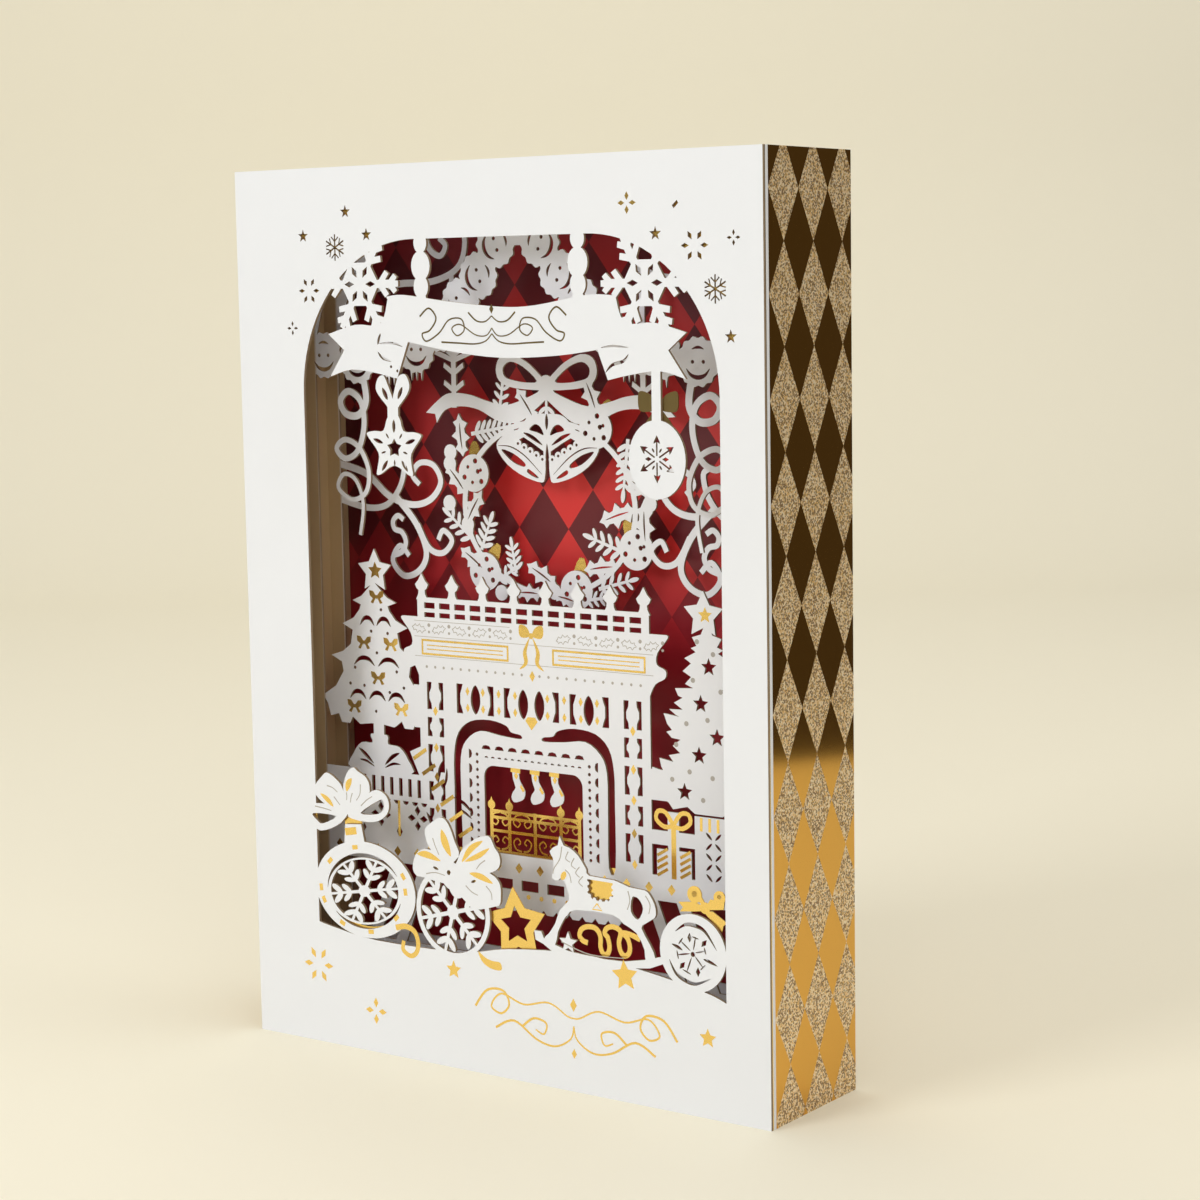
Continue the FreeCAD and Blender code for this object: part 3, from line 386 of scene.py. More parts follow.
def foilFinish(name, colour, roughness, wrinkle=0.25, fineness=260.0):
    # metal foil with slight waves
    finish, tree, shader = newFinish(name, colour, roughness, 1.0)
    place, _ = objectPoint(tree)
    grain = useGroup(tree, cardGrain, Fineness=fineness)
    tree.links.new(place.outputs["Object"], grain.inputs["Vector"])
    addBump(tree, shader, grain.outputs["Height"], wrinkle, 0.0002)
    return finish


# Paper and foil
colours = {
    "white": (0.86, 0.88, 0.93), "whiteShade": (0.82, 0.84, 0.885), "cutEdge": (0.36, 0.27, 0.18),
    "sheetWhite": (0.86, 0.87, 0.91), "sheetShade": (0.80, 0.805, 0.84),
    "gold": (0.95, 0.66, 0.19), "darkGold": (0.30, 0.22, 0.09), "engraved": (0.46, 0.43, 0.40),
    "linerShadeBrown": (0.20, 0.105, 0.05), "linerShadeMottle": (0.14, 0.07, 0.035), "marginPaintedShade": (0.52, 0.37, 0.20),
    "cutShade": (0.25, 0.18, 0.11), "engravedShade": (0.42, 0.38, 0.33),
}
# where the painted shade on the sheet margins begins, in millimetres from the middle, and the width over which it
# comes in
paintedShadeMargin = {"from": 53.8, "width": 0.6}


def paintShadeOnMargins(finish, start, width, paintedShade):
    # painted shade: paper turns towards a warm shadow tone beyond a distance from the middle of the card, where the
    # front panel shades the sheet margins
    tree = finish.node_tree
    shader = tree.nodes["Principled BSDF"]
    _, apart = objectPoint(tree)
    reach = mathNode(tree, "ABSOLUTE", apart.outputs["X"])
    share = scaled(tree, reach, start, width)
    share.node.use_clamp = True
    plain = shader.inputs["Base Color"].links[0].from_socket
    tree.links.new(mixColours(tree, share, plain, paintedShade), shader.inputs["Base Color"])


whiteCard = cardFinish("whiteCard", colours["white"], colours["whiteShade"])
sheetPaper = cardFinish("sheetPaper", colours["sheetWhite"], colours["sheetShade"])
# painted shade: warm shadow tone on both side margins of the sheet paper
paintShadeOnMargins(sheetPaper, paintedShadeMargin["from"], paintedShadeMargin["width"], colours["marginPaintedShade"])
cutEdge = cardFinish("cutEdge", colours["cutEdge"], colours["cutShade"], 0.8)
# painted shade: the side liners are coloured the dark brown of the shaded inner walls
linerShadeBrown = cardFinish("linerShadeBrown", colours["linerShadeBrown"], colours["linerShadeMottle"], 0.7)
stampedGold = foilFinish("stampedGold", colours["gold"], 0.24)
darkFoil = foilFinish("darkFoil", colours["darkGold"], 0.3)
engravedLine = cardFinish("engravedLine", colours["engraved"], colours["engravedShade"], 0.75)
print("paper and foil finishes made")


# Case: mirror foil with rows of glitter diamonds on its outer faces
caseLook = {
    "mirror": (0.72, 0.39, 0.07), "mirrorRoughness": 0.09, "glitter": (0.84, 0.55, 0.20),
    "glitterDark": (0.30, 0.18, 0.08), "glitterPale": (0.98, 0.84, 0.62), "glitterMetal": 0.35, "glitterRough": 0.36,
    "halfWidth": 5.1, "halfHeight": 9.4, "columnFromFront": 5.1, "rowFromTop": 26.1, "speck": 3400.0,
    "speckDarkTo": 0.22, "speckMiddle": 0.45, "speckPaleFrom": 0.85, "speckBump": 0.5, "speckHeight": 0.0002,
}


def caseFinish():
    low, high = nodeBox("case")
    finish, tree, shader = newFinish("foilCase", caseLook["mirror"], caseLook["mirrorRoughness"], 1.0)
    place, apart = objectPoint(tree)
    facing = tree.nodes.new("ShaderNodeSeparateXYZ")
    tree.links.new(place.outputs["Normal"], facing.inputs["Vector"])
    onSide = mathNode(tree, "GREATER_THAN", mathNode(tree, "ABSOLUTE", facing.outputs["X"]), 0.5)
    across = mathNode(tree, "ADD", mathNode(tree, "MULTIPLY", onSide, apart.outputs["Y"]),
                      mathNode(tree, "MULTIPLY", mathNode(tree, "SUBTRACT", 1.0, onSide), apart.outputs["X"]))
    rows = useGroup(tree, diamondRows,
                    Half_Width=caseLook["halfWidth"] * mm, Half_Height=caseLook["halfHeight"] * mm,
                    Middle_Across=(low.y + caseLook["columnFromFront"]) * mm,
                    Middle_Up=(high.z - caseLook["rowFromTop"]) * mm)
    tree.links.new(across, rows.inputs["Across"])
    tree.links.new(apart.outputs["Z"], rows.inputs["Up"])
    specks = tree.nodes.new("ShaderNodeTexVoronoi")
    specks.inputs["Scale"].default_value = caseLook["speck"]
    tree.links.new(place.outputs["Object"], specks.inputs["Vector"])
    speck = tree.nodes.new("ShaderNodeSeparateColor")
    tree.links.new(specks.outputs["Color"], speck.inputs["Color"])
    tone = ramp(tree, speck.outputs["Red"],
                [(0.0, caseLook["glitterDark"]), (caseLook["speckDarkTo"], caseLook["glitterDark"]),
                 (caseLook["speckMiddle"], caseLook["glitter"]),
                 (caseLook["speckPaleFrom"], caseLook["glitterPale"])])
    tree.links.new(mixColours(tree, rows.outputs["Mask"], caseLook["mirror"], tone), shader.inputs["Base Color"])
    rough = mathNode(tree, "MULTIPLY_ADD", rows.outputs["Mask"], caseLook["glitterRough"],
                     caseLook["mirrorRoughness"])
    tree.links.new(rough, shader.inputs["Roughness"])
    metal = mathNode(tree, "MULTIPLY_ADD", rows.outputs["Mask"], caseLook["glitterMetal"] - 1.0, 1.0)
    tree.links.new(metal, shader.inputs["Metallic"])
    height = mathNode(tree, "MULTIPLY", rows.outputs["Mask"], speck.outputs["Green"])
    addBump(tree, shader, height, caseLook["speckBump"], caseLook["speckHeight"])
    return finish


# Red back: bright and dark diamonds in rows, with a painted pool of light right of the middle that fades to painted
# shade towards the left, the top and the edges
backLook = {
    "bright": (0.74, 0.030, 0.028), "dark": (0.125, 0.008, 0.014), "plain": (0.36, 0.010, 0.022), "halfWidth": 6.15,
    "halfHeight": 8.1, "middle": 0.5, "brightRow": 113.9, "fadeFrom": 82.0, "fadeHeight": 22.0, "roughness": 0.38,
    "paintedLightX": 12.0, "paintedLightZ": 108.0, "paintedLightWide": 62.0, "paintedLightHigh": 66.0, "paintedShadeBright": (0.22, 0.010, 0.016),
    "paintedShadeDark": (0.055, 0.004, 0.009), "spread": 0.18, "cellTone": (0.30, 0.01, 0.012), "fineness": 500.0,
}


def backFinish():
    finish, tree, shader = newFinish("redDiamonds", backLook["bright"], backLook["roughness"])
    place, apart = objectPoint(tree)
    rows = useGroup(tree, diamondRows,
                    Half_Width=backLook["halfWidth"] * mm, Half_Height=backLook["halfHeight"] * mm,
                    Middle_Across=backLook["middle"] * mm, Middle_Up=backLook["brightRow"] * mm)
    tree.links.new(apart.outputs["X"], rows.inputs["Across"])
    tree.links.new(apart.outputs["Z"], rows.inputs["Up"])
    lit = mixColours(tree, rows.outputs["Mask"], backLook["dark"], backLook["bright"])
    rise = scaled(tree, apart.outputs["Z"], backLook["fadeFrom"], backLook["fadeHeight"])
    rise.node.use_clamp = True
    lit = mixColours(tree, rise, backLook["plain"], lit)
    # painted light and shade: full colour in an oval pool right of the middle, turning to darker painted-shade tones
    # towards its edge
    aside = scaled(tree, apart.outputs["X"], backLook["paintedLightX"], backLook["paintedLightWide"])
    above = scaled(tree, apart.outputs["Z"], backLook["paintedLightZ"], backLook["paintedLightHigh"])
    away = mathNode(tree, "ADD", mathNode(tree, "MULTIPLY", aside, aside), mathNode(tree, "MULTIPLY", above, above))
    away.node.use_clamp = True
    # painted shade tones for the diamonds outside the pool of light
    rim = mixColours(tree, rows.outputs["Mask"], backLook["paintedShadeDark"], backLook["paintedShadeBright"])
    tone = mixColours(tree, away, lit, mixColours(tree, rise, backLook["plain"], rim))
    spread = mathNode(tree, "MULTIPLY", rows.outputs["Cell"], backLook["spread"])
    varied = mixColours(tree, spread, tone, backLook["cellTone"])
    tree.links.new(varied, shader.inputs["Base Color"])
    grain = useGroup(tree, cardGrain, Fineness=backLook["fineness"])
    tree.links.new(place.outputs["Object"], grain.inputs["Vector"])
    addBump(tree, shader, grain.outputs["Height"], 0.1, 0.0001)
    return finish


for node, finish in (("case", caseFinish()), ("back_liner", backFinish()), ("left_liner", linerShadeBrown),
                     ("right_liner", linerShadeBrown), ("front_board", whiteCard), ("saddle_foil", stampedGold)):
    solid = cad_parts[node]
    solid.data.materials.clear()
    solid.data.materials.append(finish)
print("case, back, liners and board dressed")


# Front panel
window = {"left": -46.0, "right": 53.5, "top": 163.5, "low": 24.0, "archRun": 29.0, "archRise": 30.0}
left, right, top, low = (window[side] for side in ("left", "right", "top", "low"))
panelLow, panelHigh = nodeBox("front_panel")
frontY = panelLow.y
cardHalf, cardTop = panelHigh.x, panelHigh.z
flakeLeft, flakeRight = (left + 15.5, top - 8.5), (right - 16.0, top - 9.2)
starPlace, ballPlace = (left + 23.3, top - 40.5), (right - 13.8, top - 41.3)
ringOne, ringTwo = (left + 12.6, low + 9.4), (left + 35.3, low + 7.6)
goldStar, horse, smallBall = (left + 50.6, low + 6.8), (left + 70.5, low + 3.0), (right - 7.3, low + 7.0)
leftKnot, rightKnot = (ringOne[0] - 4.4, ringOne[1] + 15.6), (ringTwo[0] + 0.3, ringTwo[1] + 8.7)


def archPoints(x0, x1, z1, run, rise, corners=24):
    # rounded shoulders, from the right side over the top to the left side
    turns = [math.pi / 2 * i / corners for i in range(corners + 1)]
    shoulder = [(x1 - run + run * math.cos(a), z1 - rise + rise * math.sin(a)) for a in turns]
    return shoulder + [(x0 + x1 - x, z) for x, z in reversed(shoulder)]


def windowOutline(spread=0.0):
    hill = smooth([(left, low + 1.3), (left + 4.0, low + 0.6), (left + 15.5, low - 0.7), (left + 37.0, low - 0.2),
                   (left + 49.0, low + 2.0), (left + 66.0, low + 3.4), (right - 19.0, low + 2.2),
                   (right - 5.0, low), (right, low - 1.5)], 4, False)
    points = hill + archPoints(left, right, top, window["archRun"], window["archRise"])
    middleX, middleZ = (left + right) / 2, (low + top) / 2
    growX, growZ = 1 + 2 * spread / (right - left), 1 + 2 * spread / (top - low)
    return [(middleX + (x - middleX) * growX, middleZ + (z - middleZ) * growZ) for x, z in points]


def bannerOutlines():
    upper = [(left + 22.2, top - 11.0), (left + 26.5, top - 10.7), (left + 37, top - 12.0), (left + 50, top - 13.2),
             (right - 41, top - 13.0), (right - 29, top - 11.2), (right - 22.6, top - 11.4)]
    lower = [(right - 24.5, top - 21.0), (right - 36, top - 22.4), (left + 50, top - 22.8), (left + 38, top - 21.6),
             (left + 27.5, top - 19.8)]
    upperTail = smooth([(22.6, -11.2), (20.5, -16.3), (14, -16.4), (7.0, -18.2)], 4, False)
    lowerTail = smooth([(7.2, -26.6), (13, -25.2), (20, -26.0), (24.5, -26.9)], 4, False)
    tail = upperTail + [(11, -21.4)] + lowerTail + [(27.5, -19.6)]
    return [smooth(upper, 4, False) + smooth(lower, 4, False),
            [(left + x, top + z) for x, z in tail], [(right - x, top + z) for x, z in tail]]


def leftBowShapes():
    # two upright petals, a loop to the right and a loop down to the left
    petals = [[(-3.0, 0), (-6.3, 1.3), (-8.4, 3.0), (-8.2, 4.8), (-6.5, 6.6), (-5.0, 7.6), (-2.5, 6.4), (-0.9, 4.7),
               (0.3, 0.2)],
              [(0, 0), (-0.7, 4.4), (-0.5, 6.0), (0.5, 8.2), (2.1, 9.3), (3.3, 8.6), (5.1, 7.8), (6.1, 6.6),
               (6.3, 5.2), (5.9, 4.2), (1.6, -0.2)],
              [(0.3, -0.4), (4.7, 3.4), (7.1, 5.0), (8.9, 5.2), (10.7, 4.2), (11.3, 2.4), (10.7, 0.6), (8.9, -0.8),
               (6.3, -1.5), (2.3, -1.4)],
              [(0, 0.6), (-9.3, 0.9), (-11.0, -1.6), (-8.1, -4.4), (-5.9, -4.4), (-3.3, -3.4), (-0.9, -1.8)]]
    return [placed(smooth(points, 3), *leftKnot) for points in petals]


def leftBowHoles():
    holes = [[(3.7, 0.1), (8.3, 3.0), (9.7, 3.3), (9.9, 1.6), (8.1, 0.3)],
             [(-9.1, -1.2), (-2.9, -1.2), (-6.5, -3.1), (-8.0, -2.6)]]
    return [placed(smooth(points, 3), *leftKnot) for points in holes]


def rightBowShapes():
    petals = [[(1.5, 2.7), (0.5, 5.7), (-0.5, 8.1), (-1.7, 9.7), (-3.3, 10.0), (-5.7, 8.5), (-7.0, 7.1),
               (-6.5, 4.7), (-5.5, 3.2), (-3.0, 0)],
              [(1.2, 2.0), (2.5, 4.3), (5.7, 6.7), (8.3, 7.6), (9.5, 7.3), (10.5, 5.5), (11.5, 4.3), (11.8, 2.7),
               (11.1, 1.3), (9.1, 0.3), (4.0, -1.4), (0, -1.0)],
              [(-5.5, 3.2), (-7.7, 3.1), (-9.1, 2.3), (-10.0, 0.7), (-10.3, -1.1), (-9.5, -2.3), (-7.7, -2.5),
               (-2.5, -3.1), (0.6, -2.6), (1.0, 1.0)],
              [(9.1, 0.3), (10.7, -0.5), (11.7, -1.9), (11.8, -3.9), (11.5, -5.7), (10.1, -6.3), (5.1, -7.4),
               (1.9, -5.3), (-2.5, -3.1), (0, 0.6), (5.0, 2.2)]]
    return [placed(smooth(points, 3), *rightKnot) for points in petals]


def horseShapes():
    body = [(-11.0, 19.6), (-9.0, 21.0), (-6.4, 20.8), (-4.2, 19.4), (-2.4, 17.0), (-1.8, 15.9), (4.0, 15.7),
            (7.4, 14.8), (11.0, 14.6), (12.2, 13.8), (13.2, 12.2), (13.5, 10.8), (13.2, 9.6), (11.0, 8.2),
            (10.2, 7.2), (12.0, 4.4), (13.2, 1.9), (11.0, 1.3), (10.8, 3.2), (9.0, 6.2), (6.0, 7.6), (3.5, 9.0),
            (-5.0, 8.9), (-7.0, 7.6), (-7.8, 6.8), (-9.4, 4.0), (-10.2, 1.2), (-12.8, 2.1), (-11.6, 3.4),
            (-10.0, 5.6), (-8.8, 8.4), (-6.6, 10.6), (-7.0, 12.6), (-7.6, 14.0), (-8.6, 14.6), (-9.1, 14.1),
            (-10.6, 14.4), (-10.1, 16.6), (-10.3, 18.4)]
    ear = [(-9.2, 20.4), (-8.6, 22.8), (-7.4, 20.6)]
    rocker = [(-15.1, 3.6), (-13.4, 3.6), (-12.8, 2.3), (-10.2, 1.4), (-7.0, 0.6), (0, 0.1), (6.0, 0.3),
              (11.0, 1.3), (15.4, 2.6), (15.4, 1.2), (12.0, -0.2), (6.0, -1.0), (-4.0, -1.2), (-9.4, -0.8),
              (-13.0, 1.2), (-14.8, 1.8)]
    return [placed(smooth(body, 2), *horse), placed(ear, *horse), placed(rocker, *horse)]


saddle = [(-2.2, 15.2), (3.7, 15.1), (3.8, 12.6), (2.6, 11.4), (0.8, 11.2), (-1.0, 11.4), (-2.2, 12.6)]


def saddleBeads():
    return [circle(horse[0] + u, horse[1] + v, 0.42, 10) for u, v in
            ((-2.2, 14.4), (-2.3, 13.2), (-1.8, 12.0), (-0.6, 11.4), (0.8, 11.2), (2.2, 11.3), (3.3, 12.1),
             (3.8, 13.2), (3.8, 14.3))]


def leafFlake(x, z, reach, turn=0.0, tilt=0.0, squash=1.0):
    # six arms with pairs of rounded leaves, fitted to a round or an oval ring
    shapes = [circle(0, 0, 0.17 * reach, 18)]
    for k in range(6):
        arm = [[(0, -0.45), (reach, -0.32), (reach, 0.32), (0, 0.45)]]
        for root, size in ((0.40, 0.17), (0.66, 0.19)):
            for side in (1, -1):
                leaf = circle(0, 0, size * reach, 14, 0.0, 0.42)
                arm.append(placed(leaf, (root + 0.6 * size) * reach, side * 0.75 * size * reach, 1.0, side * 48))
        shapes += [placed(points, 0, 0, 1.0, turn + 60 * k) for points in arm]
    return [placed([(u, squash * v) for u, v in points], x, z, 1.0, tilt) for points in shapes]


def arrowCuts(x, z):
    # six arrows, two diamonds and four leaves in a ring, as a cut snowflake
    outlines = []
    for turn in (90, 270, 32, 148, 212, 328):
        arrow = [(0.6, -0.16), (3.1, -0.16), (2.8, -0.75), (3.3, -0.62), (4.4, 0), (3.3, 0.62), (2.8, 0.75),
                 (3.1, 0.16), (0.6, 0.16)]
        outlines.append(placed(arrow, x, z + 0.1, 1.0, turn))
    outlines += [diamond(x + u, z + 0.1, 0.75, 0.42) for u in (-1.9, 1.9)]
    for u, v, turn in ((-0.95, 2.0, 125), (0.95, 2.0, 55), (-0.95, -1.7, 235), (0.95, -1.7, 305)):
        outlines.append(placed(circle(0, 0, 0.45, 10, 0.0, 0.45), x + 0.85 * u, z + 0.85 * v, 1.0, turn))
    return outlines


def hangingStar():
    x, z = starPlace
    body = [(-1.4, 6.2), (-2.7, 3.4), (-5.0, 3.3), (-6.9, 2.9), (-6.6, 2.0), (-4.1, -1.0), (-4.3, -3.4),
            (-4.7, -5.2), (-3.6, -5.2), (-0.1, -3.4), (3.4, -5.2), (4.6, -5.2), (4.3, -3.4), (4.3, -1.0),
            (6.5, 1.8), (6.8, 2.7), (5.0, 3.2), (2.4, 3.4), (1.3, 6.2)]
    leftLoop = [(-1.4, 8.0), (-1.8, 8.4), (-3.4, 10.0), (-4.4, 11.6), (-3.8, 13.6), (-2.4, 14.2), (-1.4, 12.6),
                (-0.1, 9.6), (0, 8.0)]
    rightLoop = [(1.2, 8.0), (1.6, 8.4), (3.6, 10.6), (4.2, 12.4), (3.2, 14.4), (1.6, 14.1), (0.8, 12.6),
                 (-0.1, 9.6), (0, 8.0)]
    outlines = [placed(smooth(points, 3), x, z) for points in (body, leftLoop, rightLoop)]
    return outlines + [rectangle(x - 1.5, z + 4.0, x + 1.2, z + 9.0)]


def hangingStarCuts():
    x, z = starPlace
    cuts = [star(x, z, 1.9, 1.1)]
    for k in range(5):
        cuts.append(slit(placed([(3.0, 0), (5.6, 0)], x, z, 1.0, 90 + 72 * k), 0.75))
        cuts.append(slit(placed([(2.3, 0), (3.5, 0)], x, z, 1.0, 126 + 72 * k), 0.35))
    cuts.append(slit([(x - 2.7, z + 11.8), (x - 1.4, z + 9.4)], 0.9))
    cuts.append(slit([(x + 2.4, z + 12.0), (x + 1.2, z + 9.6)], 0.8))
    return cuts


def thinFlake(x, z, reach):
    outlines = []
    for k in range(3):
        outlines += band(placed([(-reach, 0), (reach, 0)], x, z, 1.0, 30 + 60 * k), 0.32)
    for k in range(6):
        turn = 30 + 60 * k
        outlines += band(placed([(0.45 * reach, 0), (0.8 * reach, 0.35 * reach)], x, z, 1.0, turn), 0.26)
        outlines += band(placed([(0.45 * reach, 0), (0.8 * reach, -0.35 * reach)], x, z, 1.0, turn), 0.26)
    return outlines


def smallCuts():
    cuts = []
    for x, z in ((left + 12.2, top + 5.7), (left + 1.0, top + 1.2), (left + 17.5, top + 1.1),
                 (right - 13.5, top - 0.4), (right + 2.5, top - 19.0)):
        cuts.append(star(x, z, 1.35, 0.55))
    for x, z, size in ((left + 2.2, top - 9.6, 1.0), (right - 5.0, top - 2.7, 1.1)):
        cuts += rays(x, z, 1.9 * size, 0.8 * size, 0.42 * size)
    for x, z in ((left - 2.5, top - 17.0), (right + 3.3, top - 1.5)):
        cuts += rays(x, z, 0.9, 0.55, 0.3, 0, 4)
    for x, z in ((left + 9.3, top - 1.2), (right - 0.7, top - 10.5)):
        cuts += thinFlake(x, z, 2.6)
    cuts.append([(right - 9.4, top + 4.0), (right - 8.4, top + 4.9), (right - 8.7, top + 5.5),
                 (right - 9.8, top + 4.5)])
    return cuts


def flourishLines():
    # scroll ornament below the window
    x, z = right - 35.0, low - 9.5
    lines = [[(-24, -1.0), (-21, 2.6), (-17, 3.0), (-15.6, 0.4), (-17.6, -1.6), (-20, -0.4), (-17.4, 2.4),
              (-12, 1.0), (-6, 2.2), (-1.5, 0.2), (0, 0)],
             [(-19, -4.6), (-14.4, -2.6), (-9, -5.5), (-4.5, -6.2), (-0.8, -4.2), (0, -1.6)],
             [(-12.4, -3.4), (-9.6, -1.4), (-6.6, -2.0), (-7.2, -4.2), (-9.2, -3.6)]]
    outlines = []
    for line in lines:
        for flip in (False, True):
            outlines += band(placed(smooth(line, 6, False), x, z, 1.0, 0, flip), 0.5, 0.3)
    outlines += [diamond(x, z + 2.6, 1.3, 0.8, 90), diamond(x, z - 7.0, 1.0, 0.6, 90)]
    return outlines


def bannerLines():
    x, z = (left + right) / 2 - 1.6, top - 17.2
    lines = [[(-20.0, 2.6), (-17.4, 4.4), (-15.4, 2.2), (-17.2, -0.4), (-19.4, -1.2), (-18.2, -2.8), (-14.6, -1.0),
              (-11.8, 1.8), (-8.4, 2.0), (-7.6, -0.4), (-9.6, -1.6), (-11.0, 0.0), (-8.6, 0.8), (-4.6, -1.4),
              (-1.6, -1.6), (0, 0)],
             [(-14.0, -3.0), (-9.4, -3.2), (-4.8, -3.4), (-1.8, -2.8), (0, -1.2)],
             [(-6.4, 3.4), (-4.2, 1.6), (-1.8, 1.4), (0, 2.6)]]
    outlines = []
    for line in lines:
        for flip in (False, True):
            outlines += band(placed(smooth(line, 6, False), x, z, 0.88, 0, flip), 0.34, 0.22)
    return outlines + [diamond(x, z + 3.6, 0.9, 0.5, 90)]


def bannerFolds():
    folds = []
    for points, width in ((((20.5, -18.1), (19.7, -20.3)), 0.6),
                          (((19.9, -20.1), (23.5, -20.0), (26.0, -20.7)), 0.35),
                          (((19.7, -21.7), (20.9, -22.9), (23.1, -23.6)), 0.5)):
        folds.append(slit([(left + u, top + v) for u, v in points], width))
    folds += [circle(left + u, top + v, 0.3, 8) for u, v in ((23.0, -24.6), (24.6, -25.4))]
    for points, width in ((((26.0, -20.9), (23.0, -20.6), (19.7, -20.9)), 0.35),
                          (((25.0, -25.5), (23.5, -24.1), (21.0, -23.4), (19.8, -22.1)), 0.6)):
        folds.append(slit([(right - u, top + v) for u, v in points], width))
    return folds


def smallBallCuts():
    x, z = smallBall
    cuts = [slit([(x + u, z + v) for u, v in points], 0.75) for points in
            (((-3.9, 3.7), (-1.7, 5.2), (0.6, 5.3), (2.8, 4.4), (5.3, 1.2)),
             ((-5.3, -1.8), (-3.9, -4.2), (-1.7, -5.4), (0.7, -5.7), (3.9, -4.3)))]
    for u, v, turn in ((-0.7, 2.9, 90), (2.5, 2.2, 50), (-2.4, -2.6, 50), (1.1, -3.4, 90)):
        cuts.append(diamond(x + u, z + v, 0.95, 0.5, turn))
    for u, v in ((-2.7, 2.0), (2.7, 0.8), (-3.4, -0.7), (-1.4, -3.7), (2.2, -2.4), (0.6, 3.0)):
        cuts.append(slit([(x + 0.2 * u, z + 0.2 * v), (x + u, z + v)], 0.26))
        cuts.append(slit([(x + u - 0.25 * v, z + v + 0.25 * u), (x + u + 0.25 * v, z + v - 0.25 * u)], 0.26))
    for points in (((-4.7, 1.2), (-3.4, 0.8), (-2.3, 0.3)), ((2.3, -0.8), (3.6, -1.1), (5.4, -1.7))):
        cuts.append(slit([(x + u, z + v) for u, v in points], 0.55))
    return cuts + [circle(x, z - 0.2, 0.5, 12)]


def frontPanel():
    sheet = rectangle(-cardHalf, 0, cardHalf, cardTop)
    adds = bannerOutlines()
    for x in (left + 31.0, right - 31.0):
        for drop, radius in ((0.8, 1.6), (5.2, 2.3), (9.2, 1.8), (11.8, 1.3)):
            adds.append(circle(x, top - drop, radius, 24, 0.0, 1.25))
    adds += [flake(*flakeLeft, 9.8, 0.80, 4.4), flake(*flakeRight, 9.8, 0.80, 4.4)] + hangingStar()
    x, z = ballPlace
    adds += [circle(x, z, 6.3, 40, 0.0, 1.15), rectangle(x - 1.0, z + 5.0, x + 1.0, z + 16.6)]
    x, z = ringOne
    cap = [(-5.2, 9.0), (0.2, 9.6), (-0.6, 13.4), (-4.9, 13.0)]
    adds += [circle(x, z, 13.2, 60, 0.0, 0.75), placed(cap, x, z)] + leftBowShapes()
    secondRing = [("add", [circle(*ringTwo, 9.3, 48)]), ("cut", [circle(*ringTwo, 8.2, 44)])]
    adds += rightBowShapes() + horseShapes()
    adds += [circle(*smallBall, 7.4, 40), star(horse[0] - 7.0, horse[1] + 2.2, 2.2, 1.0)]
    cuts = smallCuts() + flourishLines() + hangingStarCuts() + arrowCuts(*ballPlace) + leftBowHoles() + bannerFolds()
    for x, z in (flakeLeft, flakeRight):
        cuts += rays(x, z, 2.7, 1.25, 0.6)
    x, z = ringOne
    cuts.append(placed(circle(0, 0, 9.0, 52, 0.0, 0.72), x - 0.2, z - 0.3, 1.0, 8))
    for start, end in ((22, 172), (212, 338)):
        path = [(u, 0.74 * v) for u, v in arc(0, 0, 9.9, start, end, 12)]
        cuts.append(slit(placed(path, x - 0.2, z - 0.3, 1.0, 8), 0.85))
    cuts.append(circle(rightKnot[0] - 1.1, rightKnot[1] - 0.8, 0.5, 12))
    for points in ([(-5.1, -0.1), (-3.7, -0.5)], [(4.5, -2.1), (5.7, -1.6)]):
        cuts.append(slit(placed(points, *rightKnot), 0.5))
    cuts += smallBallCuts() + [placed(saddle, *horse)]
    cuts.append(placed(smooth([(8.2, 13.0), (9.6, 12.8), (10.6, 11.0), (9.4, 8.8), (7.8, 10.2)], 3), *horse))
    flakes = leafFlake(ringOne[0] - 0.2, ringOne[1] - 0.3, 9.3, 0, 10, 0.74) + leafFlake(*ringTwo, 8.4, 15)
    steps = [("add", [sheet]), ("cut", [windowOutline()])] + secondRing
    steps += [("add", adds), ("cut", cuts), ("add", flakes + saddleBeads())]
    return paperPiece("frontPanel", steps, frontY, panelHigh.y - panelLow.y, [whiteCard, cutEdge])


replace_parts(frontPanel(), "front_panel")


# Gold foil behind the front, and foil stamped on it
foilLow, foilHigh = nodeBox("front_foil")
stamp = {"proud": 0.03, "depth": 0.06}


def frontFoil():
    steps = [("add", [rectangle(-cardHalf, 0, cardHalf, cardTop)]), ("cut", [windowOutline(0.4)]),
             ("add", [star(*goldStar, 7.6, 4.2, 5, 96)]), ("cut", [star(*goldStar, 3.9, 2.0, 5, 96)])]
    return paperPiece("frontFoil", steps, foilLow.y, foilHigh.y - foilLow.y, [stampedGold, stampedGold])


def foilBehind(name, adds, cuts=(), finish=stampedGold):
    steps = [("add", adds), ("cut", list(cuts))]
    return paperPiece(name, steps, foilLow.y, foilHigh.y - foilLow.y, [finish, finish])


